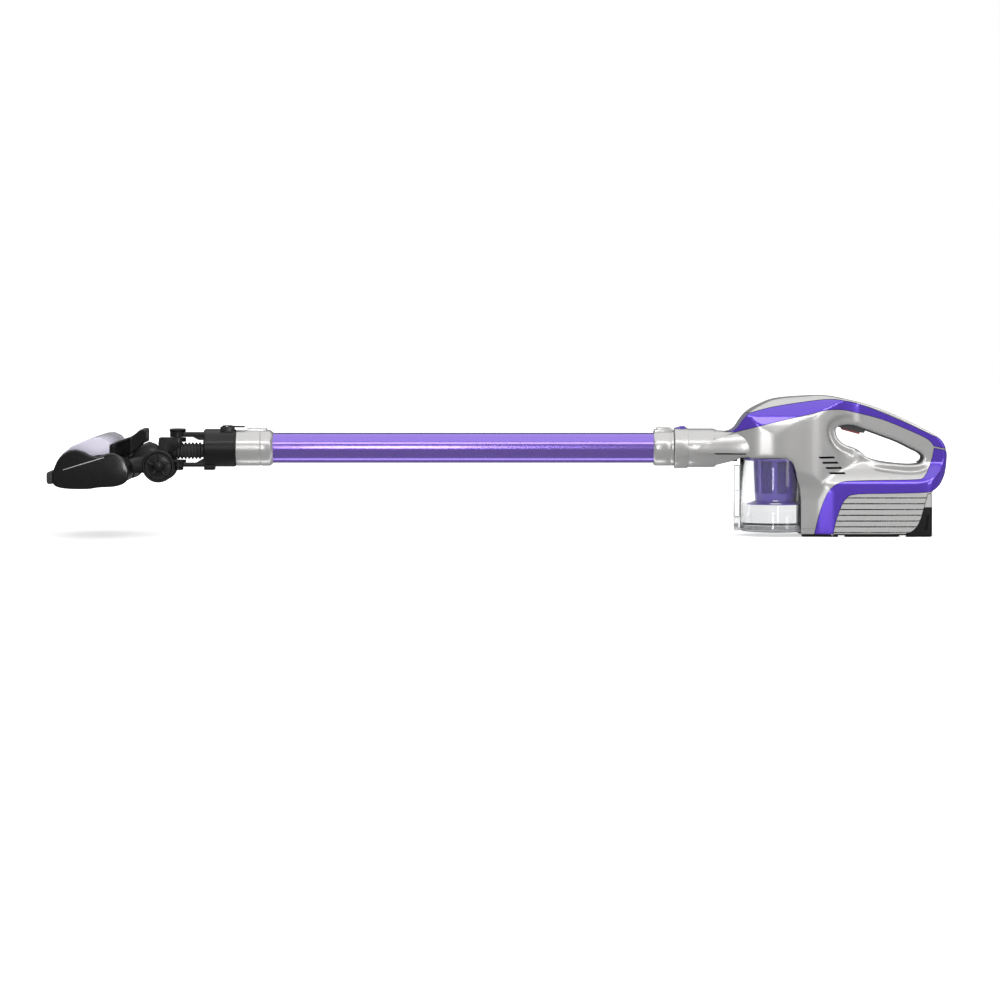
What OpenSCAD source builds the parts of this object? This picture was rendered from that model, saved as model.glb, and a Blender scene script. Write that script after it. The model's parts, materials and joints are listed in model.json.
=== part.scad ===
// Cordless stick vacuum: a hand unit with a clear dust cup, a wand and a powered floor head.
// X runs along the machine towards the handle, Z is up, and the near side is -Y.
// The hand unit stands on its base at Z = 0; X = 0 is the middle of the whole machine.

/* [Hand unit] */
// Width of the handle
handle_w = 42; // [38:1:48]
// Width of the battery base
base_w = 86; // [82:1:92]
// Wall thickness of the body shells, skins included
shell_t = 4.5; // [4:0.25:6]
// Thickness of the purple bands and the grey panels
skin_t = 2; // [1.5:0.25:2.5]
// Outer diameter of the neck in front of the body
neck_d = 54; // [50:1:58]
// Number of ribs on a lower side panel
rib_count = 7; // [4:1:8]
// Spacing of the ribs
rib_pitch = 8; // [6:0.1:8.5]

/* [Dust cup] */
// Outer diameter of the clear cup
cup_d = 100; // [84:1:102]
// Wall thickness of the cup
cup_t = 2.2; // [1.5:0.1:3]
// Height of the cup's top rim
cup_top = 108.6; // [100:0.2:108.6]
// Top radius of the perforated basket
basket_r = 32; // [26:1:36]
// Rows of holes in the basket
basket_rows = 7; // [4:1:8]

/* [Wand] */
// Outer diameter of the wand tube
wand_d = 42; // [36:1:44]
// Wall thickness of the wand tube
wand_t = 1.2; // [1:0.1:2]
// Length of the wand tube between its collars
wand_len = 532; // [440:1:560]
// Outer diameter of the collars
collar_d = 50; // [48:1:54]

/* [Floor head] */
// Width of the floor head
head_w = 240; // [200:1:280]
// Radius of the brush roller over its bristles
brush_r = 21; // [18:0.5:22]
// Radius of a side wheel
wheel_r = 22.6; // [20:0.2:24]
// Number of folds in the swivel hose
hose_folds = 8; // [4:1:8]

/* [Hidden] */
$fn = 48;

// clearances
run_gap = 0.05;
slide_gap = 0.4;
seat_gap = 0.3;

// the body is a little wider than the cup it carries
housing_w = cup_d + 4;

// main places
axis_z = 122;
cup_x = 384;
cup_bottom = 6;
lid_t = 5;
neck_x0 = 262;
collar_len = 29;
rear_collar_x = 213;
wand_x0 = rear_collar_x - wand_len;
front_collar_len = 48;
front_collar_x = wand_x0 - front_collar_len;
socket_len = 45;
socket_x = front_collar_x - socket_len;
swivel_x = socket_x - 36.5;
wheel_x = swivel_x - 24.5;
wheel_z = 97.7;
side = 80; // half the width of a prism that cuts right through the hand unit
top_h = 200;
far = 700;

// helpers: prisms along each axis, and a smooth curve through hand-set points
module prism_x(x0, x1) translate([x0, 0, 0]) rotate([90, 0, 90]) linear_extrude(x1 - x0) children();
module prism_y(y0, y1) translate([0, y1, 0]) rotate([90, 0, 0]) linear_extrude(y1 - y0) children();
module prism_z(z0, z1) translate([0, 0, z0]) linear_extrude(z1 - z0) children();
module rod_x(x0, x1, r, z = axis_z) translate([x0, 0, z]) rotate([0, 90, 0]) cylinder(r = r, h = x1 - x0);
module rod_y(y0, y1, r, x, z) translate([x, y1, z]) rotate([90, 0, 0]) cylinder(r = r, h = y1 - y0);
module rod_z(z0, z1, r, x, y = 0) translate([x, y, z0]) cylinder(r = r, h = z1 - z0);
module box(a, b) translate(a) cube(b - a);
module solid_mesh() resize([0, 0, 0]) children();
function bend(a, b, c, d, t) =
    0.5 * (2 * b + (c - a) * t + (2 * a - 5 * b + 4 * c - d) * t * t + (3 * b - a - 3 * c + d) * t * t * t);
function smooth_line(p, n = 4) = [
    for (i = [0 : len(p) - 2], k = [0 : n - 1])
        bend(p[max(i - 1, 0)], p[i], p[i + 1], p[min(i + 2, len(p) - 1)], k / n),
    p[len(p) - 1]
];
function smooth_loop(p, n = 4) = [
    for (i = [0 : len(p) - 1], k = [0 : n - 1])
        bend(p[(i + len(p) - 1) % len(p)], p[i], p[(i + 1) % len(p)], p[(i + 2) % len(p)], k / n)
];
function mirrored(p) = concat(p, [for (i = [len(p) - 1 : -1 : 0]) [p[i][0], -p[i][1]]]);

// ---- hand unit outlines, as seen from the side: [x, z] ----
back_curve = [
    [296, 147], [316, 145.5], [327, 151], [334, 161], [345, 173], [362, 183], [383, 191],
    [418, 194.5], [453, 195], [481, 190], [515, 181.5], [550, 168], [585, 151], [606, 139.5],
    [616, 129], [620.5, 117], [620.5, 104], [617.5, 86], [611, 73], [603, 65.5], [597, 62.5]
];
band_top = [
    [343.8, 171.6], [376.8, 180], [425.9, 187.5], [455.7, 190.3], [475, 188.6], [498.4, 183.3],
    [530.3, 171.6], [562.4, 157.7], [592, 144]
];
band_foot = [
    [325.7, 145], [353.4, 152.4], [391.7, 162], [425.9, 169.4], [443, 173.7], [455.7, 175.8],
    [475, 175.4], [498.4, 170.5], [530.3, 162], [562.4, 149.2], [592.2, 135.3], [601.8, 125]
];
band_inner = [
    [601.8, 122.5], [599.6, 109.7], [594.3, 94.8], [587.9, 84.5], [579.4, 79.9], [540, 78.8],
    [487.7, 77.7], [468.5, 74.5], [455.7, 65], [447.2, 47.9], [440.8, 28.7], [434, -1]
];
band_outer = [
    [460, -1], [464.4, 20.2], [470.7, 39.4], [477.5, 52], [490.7, 59], [540, 60.4],
    [590, 61.8], [603, 65.5]
];
opening_curve = [
    [468, 152], [466, 143], [471, 133], [481, 126], [493, 122], [501, 117], [509, 110],
    [525, 104.5], [548, 101], [571, 99.5], [584, 102], [588, 110], [582, 117], [571, 122.5],
    [552, 132], [531, 140], [506, 149], [486, 155]
];

module opening2d() polygon(smooth_loop(opening_curve));
module body2d() difference() {
    polygon(concat(smooth_line(back_curve), [
        [598.5, 60], [598.5, 0], [414, 0], [411, 4], [411, 60],
        [cup_x, 90], [cup_x, 109], [334, 109], [326, 105], [296, 97]
    ]));
    opening2d();
}
function reversed(p) = [for (i = [len(p) - 1 : -1 : 0]) p[i]];
module upper_band2d() polygon(concat(
    [[312, 145], [312, 172]], smooth_line(band_top), [[607, 137], [640, 137], [640, 117]],
    smooth_line(reversed(band_foot))
));
module spine2d() polygon(concat(
    [[312, 172]], smooth_line(band_top), [[607, 137], [640, 137], [640, 220], [312, 220]]
));
module lower_band2d() polygon(concat(
    smooth_line(band_inner), smooth_line(band_outer), [[640, 62], [640, 115.2]]
));
// the rear bumper ends along this line; it stands behind the ribbed side panels
rear_edge = [[592, 60], [588, 46], [582, 25], [577, 15], [570, 8], [560, 4]];
module rib_panel2d() difference() {
    polygon(concat(smooth_line(band_outer), [[598.5, 60]], smooth_line(rear_edge), [[458, 4]]));
    lower_band2d();
}
module rear_end2d() polygon(concat(smooth_line(rear_edge), [[560, -1], [599, -1], [599, 60]]));
module tray2d() polygon([[414, 0], [560, 0], [560, 4], [411, 4]]);

// ---- widths: the plan of the front and rear, [x, half width], and the sections, [y, z] ----
module plan_front2d() polygon(mirrored(smooth_line([
    [296, neck_d / 2], [316, neck_d / 2 + 4], [334, 40], [352, 48], [368, housing_w / 2 - 1],
    [cup_x, housing_w / 2], [412, 48], [436, 44], [458, 36], [480, 27],
    [500, handle_w / 2], [520, handle_w / 2]
])));
module plan_rear2d() polygon(mirrored(smooth_line([
    [430, base_w / 2 + 2], [470, base_w / 2], [540, base_w / 2], [585, base_w / 2 - 2],
    [603, base_w / 2 - 7], [614, handle_w / 2 + 3], [621, handle_w / 2 - 6]
])));
module section_front2d() polygon(mirrored_yz([
    [0, 60], [112, 60], [150, housing_w / 2], [166, 46], [180, 38], [190, 28], [196, 16]
]));
module section_rear2d() polygon(mirrored_yz([
    [0, base_w / 2], [62, base_w / 2], [74, base_w / 2 - 2], [84, 36], [94, 26],
    [104, handle_w / 2], [top_h, handle_w / 2]
]));
function mirrored_yz(p) = concat(
    [for (q = p) [q[1], q[0]]], [for (i = [len(p) - 1 : -1 : 0]) [-p[i][1], p[i][0]]]
);

// the whole body as one solid, inset evenly; the shells, bands and panels are cut from it
module body_form(inset = 0) intersection() {
    prism_y(-side, side) offset(delta = -inset) body2d();
    union() {
        intersection() {
            prism_z(-1, top_h) offset(delta = -inset) plan_front2d();
            prism_x(290, 520) offset(delta = -inset) section_front2d();
        }
        intersection() {
            prism_z(-1, top_h) offset(delta = -inset) plan_rear2d();
            prism_x(430, 625) offset(delta = -inset) section_rear2d();
        }
    }
}
module skin() difference() {
    intersection() {
        body_form();
        prism_y(-side, side) children();
    }
    body_form(skin_t);
    cup_room();
}
// rooms in the body for the cup, the battery pack and the trigger, and the vent slots
cup_gap = 1.5;
belly_z = 109;
pack_x = 478;
pack_half = 33;
pack_gap = 3;
slot_step = [5, 7.3];
slot_half = 1.4;
module cup_room() rod_z(-1, belly_z, cup_d / 2 + cup_gap, cup_x);
module pack_room() box([pack_x - slide_gap, -pack_half - pack_gap, 4], [far, pack_half + pack_gap, 54]);
module trigger_room() box([477, -6, 140], [496, 6, 172]);
module slots() for (k = [0 : 3]) translate([441 + k * slot_step[0], 0, 110 - k * slot_step[1]])
    prism_y(-side, side) polygon([[-1, slot_half], [21, slot_half], [23, -slot_half], [1, -slot_half]]);
module shell_form() difference() {
    body_form();
    prism_y(-side, side) {
        rear_end2d();
        tray2d();
    }
    difference() {
        prism_y(-side, side) {
            upper_band2d();
            spine2d();
            lower_band2d();
            rib_panel2d();
        }
        body_form(skin_t);
    }
    body_form(shell_t);
    cup_room();
    pack_room();
    trigger_room();
    slots();
    rod_x(280, 330, neck_d / 2 - 8 + seat_gap);
    seal_room(seat_gap);
    rod_z(100, 120, 20, cup_x);
}
module shell_left() color("silver") solid_mesh() intersection() {
    shell_form();
    box([200, -90, -1], [far, 0, top_h]);
}
module shell_right() color("silver") solid_mesh() intersection() {
    shell_form();
    box([200, 0, -1], [far, 90, top_h]);
}
module spine_cover() color("silver") solid_mesh() skin() spine2d();
module upper_band() color("slateblue") solid_mesh() skin() upper_band2d();
module lower_band() color("slateblue") solid_mesh() difference() {
    skin() lower_band2d();
    prism_y(-side, side) tray2d();
}
rib_foot = 5.5;
module rib_panel() difference() {
    skin() rib_panel2d();
    for (k = [1 : rib_count]) translate([0, 0, rib_foot + (k - 1) * rib_pitch])
        for (s = [-1, 1]) box([440, s * base_w / 2 - 0.8, 0], [600, s * base_w / 2 + 0.8, 1.2]);
}
module rib_panel_left() color("darkgray") solid_mesh() intersection() {
    rib_panel();
    box([400, -90, -1], [far, -20, top_h]);
}
module rib_panel_right() color("darkgray") solid_mesh() intersection() {
    rib_panel();
    box([400, 20, -1], [far, 90, top_h]);
}
screw_spots = [[430, -28], [430, 28], [472, -39], [472, 39], [552, -39], [552, 39]];
module base_tray() color([0.1, 0.1, 0.11]) difference() {
    intersection() {
        prism_y(-50, 50) tray2d();
        prism_z(-1, 5) union() {
            plan_rear2d();
            intersection() {
                plan_front2d();
                translate([400, -60]) square([60, 120]);
            }
        }
    }
    cup_room();
    for (p = screw_spots) {
        rod_z(-1, 2, 3, p[0], p[1]);
        rod_z(1, 5, 1.5, p[0], p[1]);
    }
}
module base_screws() color("silver") for (p = screw_spots) {
    rod_z(0.2, 2, 3, p[0], p[1]);
    rod_z(2, 3.9, 1.5, p[0], p[1]);
}
// the grip liner follows the opening's upper edge and its rounded rear
module grip_insert() color([0.25, 0.25, 0.27]) prism_y(-11, 11) difference() {
    intersection() {
        opening2d();
        polygon([[512, 200], [512, 135], [575, 104], [700, 96], [700, 200]]);
    }
    offset(delta = -2.4) opening2d();
}

// ---- trigger: a grey housing under the handle's front, with a red key in it ----
trigger_travel = 4;
module trigger_housing() color([0.3, 0.3, 0.32]) difference() {
    prism_y(-9, 9) difference() {
        intersection() {
            opening2d();
            polygon([[466, 147.5], [480, 146.5], [506, 143], [507, 160], [466, 160]]);
        }
    }
    box([478 - slide_gap, -6 - slide_gap, 130], [495 + slide_gap, 6 + slide_gap, 170]);
}
module trigger() color([0.6, 0.25, 0.27]) prism_y(-5.5, 5.5)
    polygon([[479, 142.5], [494, 141], [494, 158], [479, 158]]);
module trigger_spring() color("gainsboro") rod_z(158, 164, 3, 486.5);
module switch_module() color([0.15, 0.15, 0.16]) difference() {
    box([478, -5.5, 162.5], [495, 5.5, 171.5]);
    rod_z(160, 164, 3.5, 486.5);
}
module circuit_board() color("darkgreen") box([440, -20, 60], [472, 20, 61.6]);

// ---- fan motor: can, mount, shaft, bearings and impeller on one axis along X ----
motor_z = 142;
motor_r = 25;
shaft_r = 3;
module motor_can() color([0.55, 0.56, 0.58]) difference() {
    rod_x(398, 434, motor_r, motor_z);
    rod_x(400, 432, motor_r - 1.5, motor_z);
    rod_x(390, 440, shaft_r + 2, motor_z);
}
module motor_mount() color([0.2, 0.2, 0.22]) difference() {
    box([404, -34, 112], [424, 34, 146]);
    rod_x(400, 430, motor_r, motor_z);
    box([402, -motor_r + 4, 112], [426, motor_r - 4, 118]);
    cup_room();
    slots();
}
module motor_bearings() color("silver") for (x = [398, 431]) difference() {
    rod_x(x, x + 3, shaft_r + 2, motor_z);
    rod_x(x - 1, x + 4, shaft_r + run_gap, motor_z);
}
module rotor_shaft() color("gray") {
    rod_x(372, 438, shaft_r, motor_z);
    rod_x(404, 428, 16, motor_z);
}
module impeller() color([0.85, 0.85, 0.8]) difference() {
    union() {
        rod_x(376, 378, 28, motor_z);
        rod_x(376, 390, 8, motor_z);
        for (k = [0 : 8]) translate([378, 0, motor_z]) rotate([k * 40, 0, 0])
            translate([0, -0.8, 6]) cube([9, 1.6, 21]);
    }
    rod_x(370, 395, shaft_r, motor_z);
}
module exhaust_filter() color("white") box([441, -24, 84], [447, 24, 107]);
module neck_duct() color([0.2, 0.2, 0.22]) difference() {
    union() {
        rod_x(rear_collar_x + 3, neck_x0 + 4, wand_d / 2 - wand_t - 2);
        rod_x(neck_x0, 330, neck_d / 2 - 8);
    }
    rod_x(rear_collar_x, 334, wand_d / 2 - wand_t - 5);
}
module neck_collar() color("silver") difference() {
    union() {
        rod_x(neck_x0 - 20, neck_x0, 28.5);
        rod_x(neck_x0, 296, neck_d / 2);
    }
    rod_x(neck_x0 - 21, 297, neck_d / 2 - 8);
}
module seal_room(gap = 0) difference() {
    rod_z(108, 111 + gap, cup_d / 2 - 8 + gap, cup_x);
    rod_z(107, 112, cup_d / 2 - 12 - gap, cup_x);
}
module cup_seal() color([0.1, 0.1, 0.11]) intersection() {
    seal_room();
    prism_z(109, 111) square(2000, center = true);
}

// ---- battery pack: the black rear bumper with its case, cells and charge socket ----
socket_hole_r = 5.5;
socket_z = 26;
module rear_bumper() color([0.08, 0.08, 0.09]) difference() {
    intersection() {
        prism_y(-60, 60) offset(delta = -seat_gap) rear_end2d();
        body_form();
    }
    box([500, -pack_half, 3], [592, pack_half, 53]);
    rod_x(590, 600, socket_hole_r, socket_z);
}
module battery_case() color([0.15, 0.15, 0.16]) difference() {
    box([pack_x + 2, -pack_half, 6], [592, pack_half, 52]);
    box([pack_x + 4, -pack_half + 2, 8], [590, pack_half - 2, 50]);
    box([pack_x + 1, -8, 40], [pack_x + 5, 8, 46]);
}
module battery_cells() color("steelblue") for (k = [0 : 4], z = [18.5, 39])
    rod_y(-30, 30, 9.2, 493 + k * 20.5, z);
module charge_socket() color([0.3, 0.3, 0.3]) difference() {
    rod_x(592, 598, socket_hole_r, socket_z);
    rod_x(593.5, 599, 3, socket_z);
    rod_x(591, 594, 1.2, socket_z);
}

// ---- dust cup ----
rib_x = cup_x - cup_d / 2 - 9;
hinge_x = rib_x + 4;
hinge_z = 14;
lid_plug_h = 3;
lid_plug_gap = 1.2;
module cup_wall() color([0.85, 0.88, 0.92, 0.4]) difference() {
    union() {
        rod_z(cup_bottom + lid_t, cup_top, cup_d / 2, cup_x);
        box([rib_x, -4, 24], [cup_x - cup_d / 2 + 1.5, 4, 92]);
        for (y = [-10, 6]) box([hinge_x - 4, y, cup_bottom + lid_t], [cup_x - cup_d / 2 + 3, y + 4, 26]);
    }
    rod_z(0, cup_top + 1, cup_d / 2 - cup_t, cup_x);
    rod_y(-20, 20, 1.5, hinge_x, hinge_z);
}
module cup_lid() color([0.8, 0.82, 0.86, 0.5]) difference() {
    union() {
        rod_z(cup_bottom, cup_bottom + lid_t - seat_gap, cup_d / 2, cup_x);
        rod_z(cup_bottom, cup_bottom + lid_t + lid_plug_h, cup_d / 2 - cup_t - lid_plug_gap, cup_x);
        box([hinge_x - 3, -5.6, cup_bottom + 1], [cup_x - cup_d / 2 + 6, 5.6, cup_bottom + 4]);
        box([hinge_x - 3, -5.6, cup_bottom + 1], [hinge_x + 3, 5.6, hinge_z + 3]);
    }
    rod_z(cup_bottom + 3, cup_bottom + lid_t + 6, cup_d / 2 - cup_t - lid_plug_gap - 2.5, cup_x);
    rod_y(-20, 20, 1.5 + run_gap, hinge_x, hinge_z);
}
module lid_pin() color("silver") rod_y(-10, 10, 1.5, hinge_x, hinge_z);
basket_z0 = 45;
basket_t = 1.6;
skirt_r = cup_d / 2 - cup_t - 7.8;
module filter_basket() color("mediumslateblue") difference() {
    translate([cup_x, 0, 0]) rotate_extrude() polygon([
        [0, basket_z0], [skirt_r, basket_z0 - 1], [skirt_r, basket_z0 + 1], [26, basket_z0 + 4],
        [basket_r, cup_top - 4], [cup_d / 2 - cup_t - 1, cup_top - 4], [cup_d / 2 - cup_t - 1, cup_top],
        [basket_r - basket_t, cup_top], [26 - basket_t, basket_z0 + 3], [0, basket_z0 + 3]
    ]);
    for (a = [0 : 3], k = [0 : 4], r = [0 : basket_rows - 1])
        translate([cup_x, 0, 66 + r * 5.2]) rotate([0, 0, a * 90 + 25 + k * 10])
            translate([20, -1.2, 0]) cube([20, 2.4, 2.4]);
}
module pleated_filter() color("white") difference() {
    rod_z(basket_z0 + 3.4, cup_top - 1, 22, cup_x);
    rod_z(basket_z0 + 6, cup_top, 12, cup_x);
}

// ---- wand ----
spigot_len = 34;
module wand_tube() color("slateblue") difference() {
    rod_x(wand_x0 - 20, rear_collar_x + 20, wand_d / 2);
    rod_x(wand_x0 - 21, rear_collar_x + 21, wand_d / 2 - wand_t);
}
module rear_collar() color("silver") difference() {
    union() {
        rod_x(rear_collar_x, rear_collar_x + collar_len - slide_gap, collar_d / 2);
        box([rear_collar_x + 1, -11, axis_z + 16], [rear_collar_x + collar_len - 1, 11, axis_z + 26]);
    }
    rod_x(rear_collar_x - 1, rear_collar_x + 20, wand_d / 2);
    rod_x(rear_collar_x + 19, rear_collar_x + 40, wand_d / 2 - wand_t);
    box([rear_collar_x + 4, -8, axis_z + 15], [rear_collar_x + 26, 8, axis_z + 30]);
}
module release_button() color("gainsboro") {
    box([rear_collar_x + 5, -7, axis_z + 25], [rear_collar_x + 25, 7, axis_z + 29]);
    box([rear_collar_x + 20.6, -3, axis_z + 22.5], [rear_collar_x + 24, 3, axis_z + 25]);
}
module button_spring() color("silver") rod_z(axis_z + wand_d / 2, axis_z + 25, 3, rear_collar_x + 12);
module front_collar() color("silver") difference() {
    union() {
        rod_x(front_collar_x, wand_x0 + 4, collar_d / 2);
        rod_x(front_collar_x - spigot_len, front_collar_x, wand_d / 2 - 2);
        box([front_collar_x + 2, -7, axis_z + 20], [wand_x0 - 4, 7, axis_z + 28]);
    }
    rod_x(wand_x0 - 20, wand_x0 + 5, wand_d / 2);
    rod_x(front_collar_x - spigot_len - 1, wand_x0, wand_d / 2 - 5);
    box([front_collar_x - 1, -8, axis_z + 24.5], [front_collar_x + 15, 8, axis_z + 40]);
}

// ---- floor head's socket and swivel ----
socket_r = 26.5;
fork_half = 11;
fork_arm_half = 7;
module socket_yoke() color([0.1, 0.1, 0.11]) difference() {
    union() {
        rod_x(socket_x, front_collar_x - slide_gap, socket_r);
        box([socket_x, -12, axis_z - 31], [socket_x + 16, 12, axis_z - 20]);
        box([swivel_x + 4, -fork_arm_half, 137], [socket_x + 20, fork_arm_half, 144]);
        box([swivel_x + 4, -fork_arm_half, 95.5], [socket_x + 20, fork_arm_half, 101.5]);
        rod_z(137, 144, fork_half, swivel_x);
        rod_z(95.5, 101.5, fork_half, swivel_x);
        box([front_collar_x - 22, -13, axis_z + 20], [front_collar_x - 3, -9.5, axis_z + 30]);
        box([front_collar_x - 22, 9.5, axis_z + 20], [front_collar_x - 3, 13, axis_z + 30]);
    }
    rod_x(socket_x + 6, front_collar_x + 1, wand_d / 2 - 2 + slide_gap);
    rod_x(socket_x - 1, socket_x + 8, 13);
    rod_z(90, 150, 3.5 + run_gap, swivel_x);
    rod_y(-20, 20, 1.5, front_collar_x - 12, axis_z + 27);
    box([front_collar_x - 21, -9.4, axis_z + 25.2], [front_collar_x - 12, 9.4, axis_z + 27]);
}
module head_latch() color([0.07, 0.07, 0.08]) difference() {
    union() {
        box([front_collar_x - 20, -9, axis_z + 27], [front_collar_x - 6, 9, axis_z + 31.5]);
        box([front_collar_x - 8, -6, axis_z + 28.4], [front_collar_x + 12, 6, axis_z + 30.5]);
        rod_y(-9, 9, 3, front_collar_x - 12, axis_z + 29.4);
    }
    rod_y(-20, 20, 1.5 + run_gap, front_collar_x - 12, axis_z + 29.4);
}
module latch_pin() color("silver") rod_y(-9.4, 9.4, 1.5, front_collar_x - 12, axis_z + 29.4);
module swivel_pins() color([0.12, 0.12, 0.13]) {
    rod_z(134, 146, 3.5, swivel_x);
    rod_z(144.3, 149, 11.5, swivel_x);
    rod_z(92, 105, 3.5, swivel_x);
    rod_z(91, 95.2, 8, swivel_x);
}
module pivot_block() color([0.09, 0.09, 0.1]) difference() {
    union() {
        rod_z(130.5, 136.6, 12, swivel_x);
        rod_z(101.9, 105.5, 12, swivel_x);
        box([wheel_x - 2, -12, 130.5], [swivel_x, 12, 136.6]);
        box([wheel_x, -14, 86], [swivel_x - 12, 14, 136.6]);
        box([wheel_x, -12, 101.9], [swivel_x, 12, 105.5]);
        rod_y(-14, 14, 12, wheel_x, wheel_z);
    }
    rod_z(80, 150, 3.5, swivel_x);
    rod_x(wheel_x - 30, swivel_x + 3, 11, 118);
    rod_y(-20, 20, 3, wheel_x, wheel_z);
}
module swivel_hose() color([0.16, 0.16, 0.17]) difference() {
    union() {
        rod_x(wheel_x + 14, socket_x - 0.3, 9.4, 118);
        for (k = [0 : hose_folds - 1]) rod_x(swivel_x - 6 + k * 5, swivel_x - 3.4 + k * 5, 11.8, 118);
    }
    rod_x(wheel_x, socket_x + 1, 8.2, 118);
}
axle_half = 36;
module wheel_axle() color("silver") rod_y(-axle_half, axle_half, 3, wheel_x, wheel_z);
// a wheel spans 27 to 38 mm out from the middle, with a hollow outer face
module wheel(s) difference() {
    translate([0, s * 32.5, 0]) rod_y(-5.5, 5.5, wheel_r, wheel_x, wheel_z);
    translate([0, s * 42, 0]) rod_y(-8, 8, wheel_r - 3.6, wheel_x, wheel_z);
    rod_y(-60, 60, 3 + run_gap, wheel_x, wheel_z);
}
module wheel_left() color([0.12, 0.12, 0.13]) wheel(-1);
module wheel_right() color([0.12, 0.12, 0.13]) wheel(1);

// ---- floor head: drawn with its wheels at X = pivot_x, then moved as one to the end of the wand ----
pivot_x = -473;
module at_head() translate([wheel_x - pivot_x, 0, 0]) children();
brush_x = -583;
brush_z = 95;
sole_z = 70;
cap_t = 8;
head_half = head_w / 2;
cap_curve = [
    [-610, 84], [-609, 97], [-602, 112], [-592, 121], [-581, 124.5], [-569, 122], [-557, 116],
    [-547, 114.5], [-537, 118.5], [-527, 119.5], [-515, 113], [-507.5, 101], [-506, 87], [-513, 78],
    [-526, 73.5], [-548, 72], [-562, sole_z], [-584, sole_z], [-600, sole_z + 1.5], [-609, 76]
];
module end_cap(s) translate([0, s * (head_half - cap_t / 2), 0])
    prism_y(-cap_t / 2, cap_t / 2) polygon(smooth_loop(cap_curve, 3));
module end_cap_left() color([0.08, 0.08, 0.09]) end_cap(-1);
module end_cap_right() color([0.08, 0.08, 0.09]) end_cap(1);
inner_half = head_half - cap_t;
module brush_room() rod_y(-inner_half + 3, inner_half - 3, brush_r + 1.5, brush_x, brush_z);
module head_chassis() color([0.08, 0.08, 0.09]) solid_mesh() difference() {
    union() {
        prism_y(-inner_half, inner_half) polygon([
            [-607, 92], [-607, 78], [-600, sole_z + 1.5], [-560, sole_z + 1.5], [-548, 74], [-526, 75],
            [-512, 80], [-509, 88], [-510, 101], [-517, 110], [-528, 114], [-556, 112], [-560, 92]
        ]);
        for (s = [-1, 1]) prism_y(s * 20 - 4, s * 20 + 4) polygon([
            [-515, 88], [-515, 108], [-505, 119], [-497, 127], [-490, 130], [-480, 126.5],
            [-470, 117], [-464, 106], [-464, 90], [-468, 88]
        ]);
        for (s = [-1, 1]) rod_y(s * 20 - 4, s * 20 + 4, 9.5, pivot_x, wheel_z);
    }
    brush_room();
    prism_y(-inner_half + 3, inner_half - 3) polygon([[-602, 60], [-602, 94], [-564, 94], [-564, 60]]);
    rod_y(-head_half, head_half, 3, brush_x, brush_z);
    box([-570, -inner_half + 5, 80], [-550, -inner_half + 15, 106]);
    prism_y(-inner_half + 3, inner_half - 3) polygon([
        [-556, 78], [-548, 78], [-526, 79], [-514, 83], [-513, 100],
        [-519, 107], [-529, 111], [-552, 109], [-556, 95]
    ]);
    rod_y(-60, 60, 3 + run_gap, pivot_x, wheel_z);
    tilt_room();
}
// room in the head's middle for the swivel block and the fork when the wand is raised
tilt_half = 17.5;
tilt_r = 62;
module tilt_room() rod_y(-tilt_half, tilt_half, tilt_r, pivot_x, wheel_z);
module top_cover() color([0.07, 0.07, 0.08]) difference() {
    cover_form();
    tilt_room();
}
module cover_form() intersection() {
    prism_z(100, 160) polygon(mirrored([[-546, -70], [-530, -66], [-512, -32], [-489, -24]]));
    prism_y(-70, 70) polygon(concat(
        smooth_line([
            [-545, 118], [-537, 127], [-527, 133], [-515, 137], [-506, 142], [-498, 148.6], [-490, 149]
        ], 3),
        [[-490, 131], [-497, 128], [-505, 120], [-512, 113], [-528, 114.3], [-545, 113]]
    ));
}
// the clear window: a curved sheet over the brush, closed at both ends by a thin wall
window_wall = [
    [-600, 112], [-597, 118], [-586, 127.5], [-570, 134], [-555, 138.6], [-546, 139], [-538, 134],
    [-533.6, 129], [-534, 118], [-560, 115], [-570, 118], [-583, 120], [-592, 118.5]
];
window_half = inner_half - 4;
module brush_window() color([0.86, 0.84, 0.95, 0.6]) {
    prism_y(-window_half, window_half) polygon(smooth_loop([
        [-604, 104], [-598, 118], [-586, 128], [-570, 135], [-555, 140], [-546, 140.6], [-536, 136],
        [-532, 131], [-540, 132], [-548, 134.6], [-556, 134.5], [-570, 131], [-584, 123.5], [-595, 113]
    ], 3));
    for (s = [-1, 1]) translate([0, s * (window_half - 0.8), 0]) prism_y(-0.8, 0.8) polygon(window_wall);
}
module front_bumper() color([0.12, 0.12, 0.13]) prism_y(-head_half + 2, head_half - 2)
    polygon([[-617, 77], [-619, 80], [-619, 92], [-616.5, 94.5], [-610.6, 94], [-610.6, 77]]);
module brush_roller() color([0.35, 0.2, 0.5]) difference() {
    union() {
        rod_y(-inner_half + 14, inner_half - 4, brush_r - 7, brush_x, brush_z);
        for (k = [0 : 5]) translate([brush_x, 0, brush_z]) rotate([0, k * 60, 0])
            translate([-1.5, -inner_half + 16, 4]) cube([3, 2 * inner_half - 22, brush_r - 4]);
        rod_y(-inner_half + 6, -inner_half + 14, 12, brush_x, brush_z);
    }
    rod_y(-head_half, head_half, 3 + run_gap, brush_x, brush_z);
}
module roller_bearings() color("silver")
    rod_y(-inner_half, inner_half, 3, brush_x, brush_z);
pinion_x = -540;
pinion_z = 92;
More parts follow.
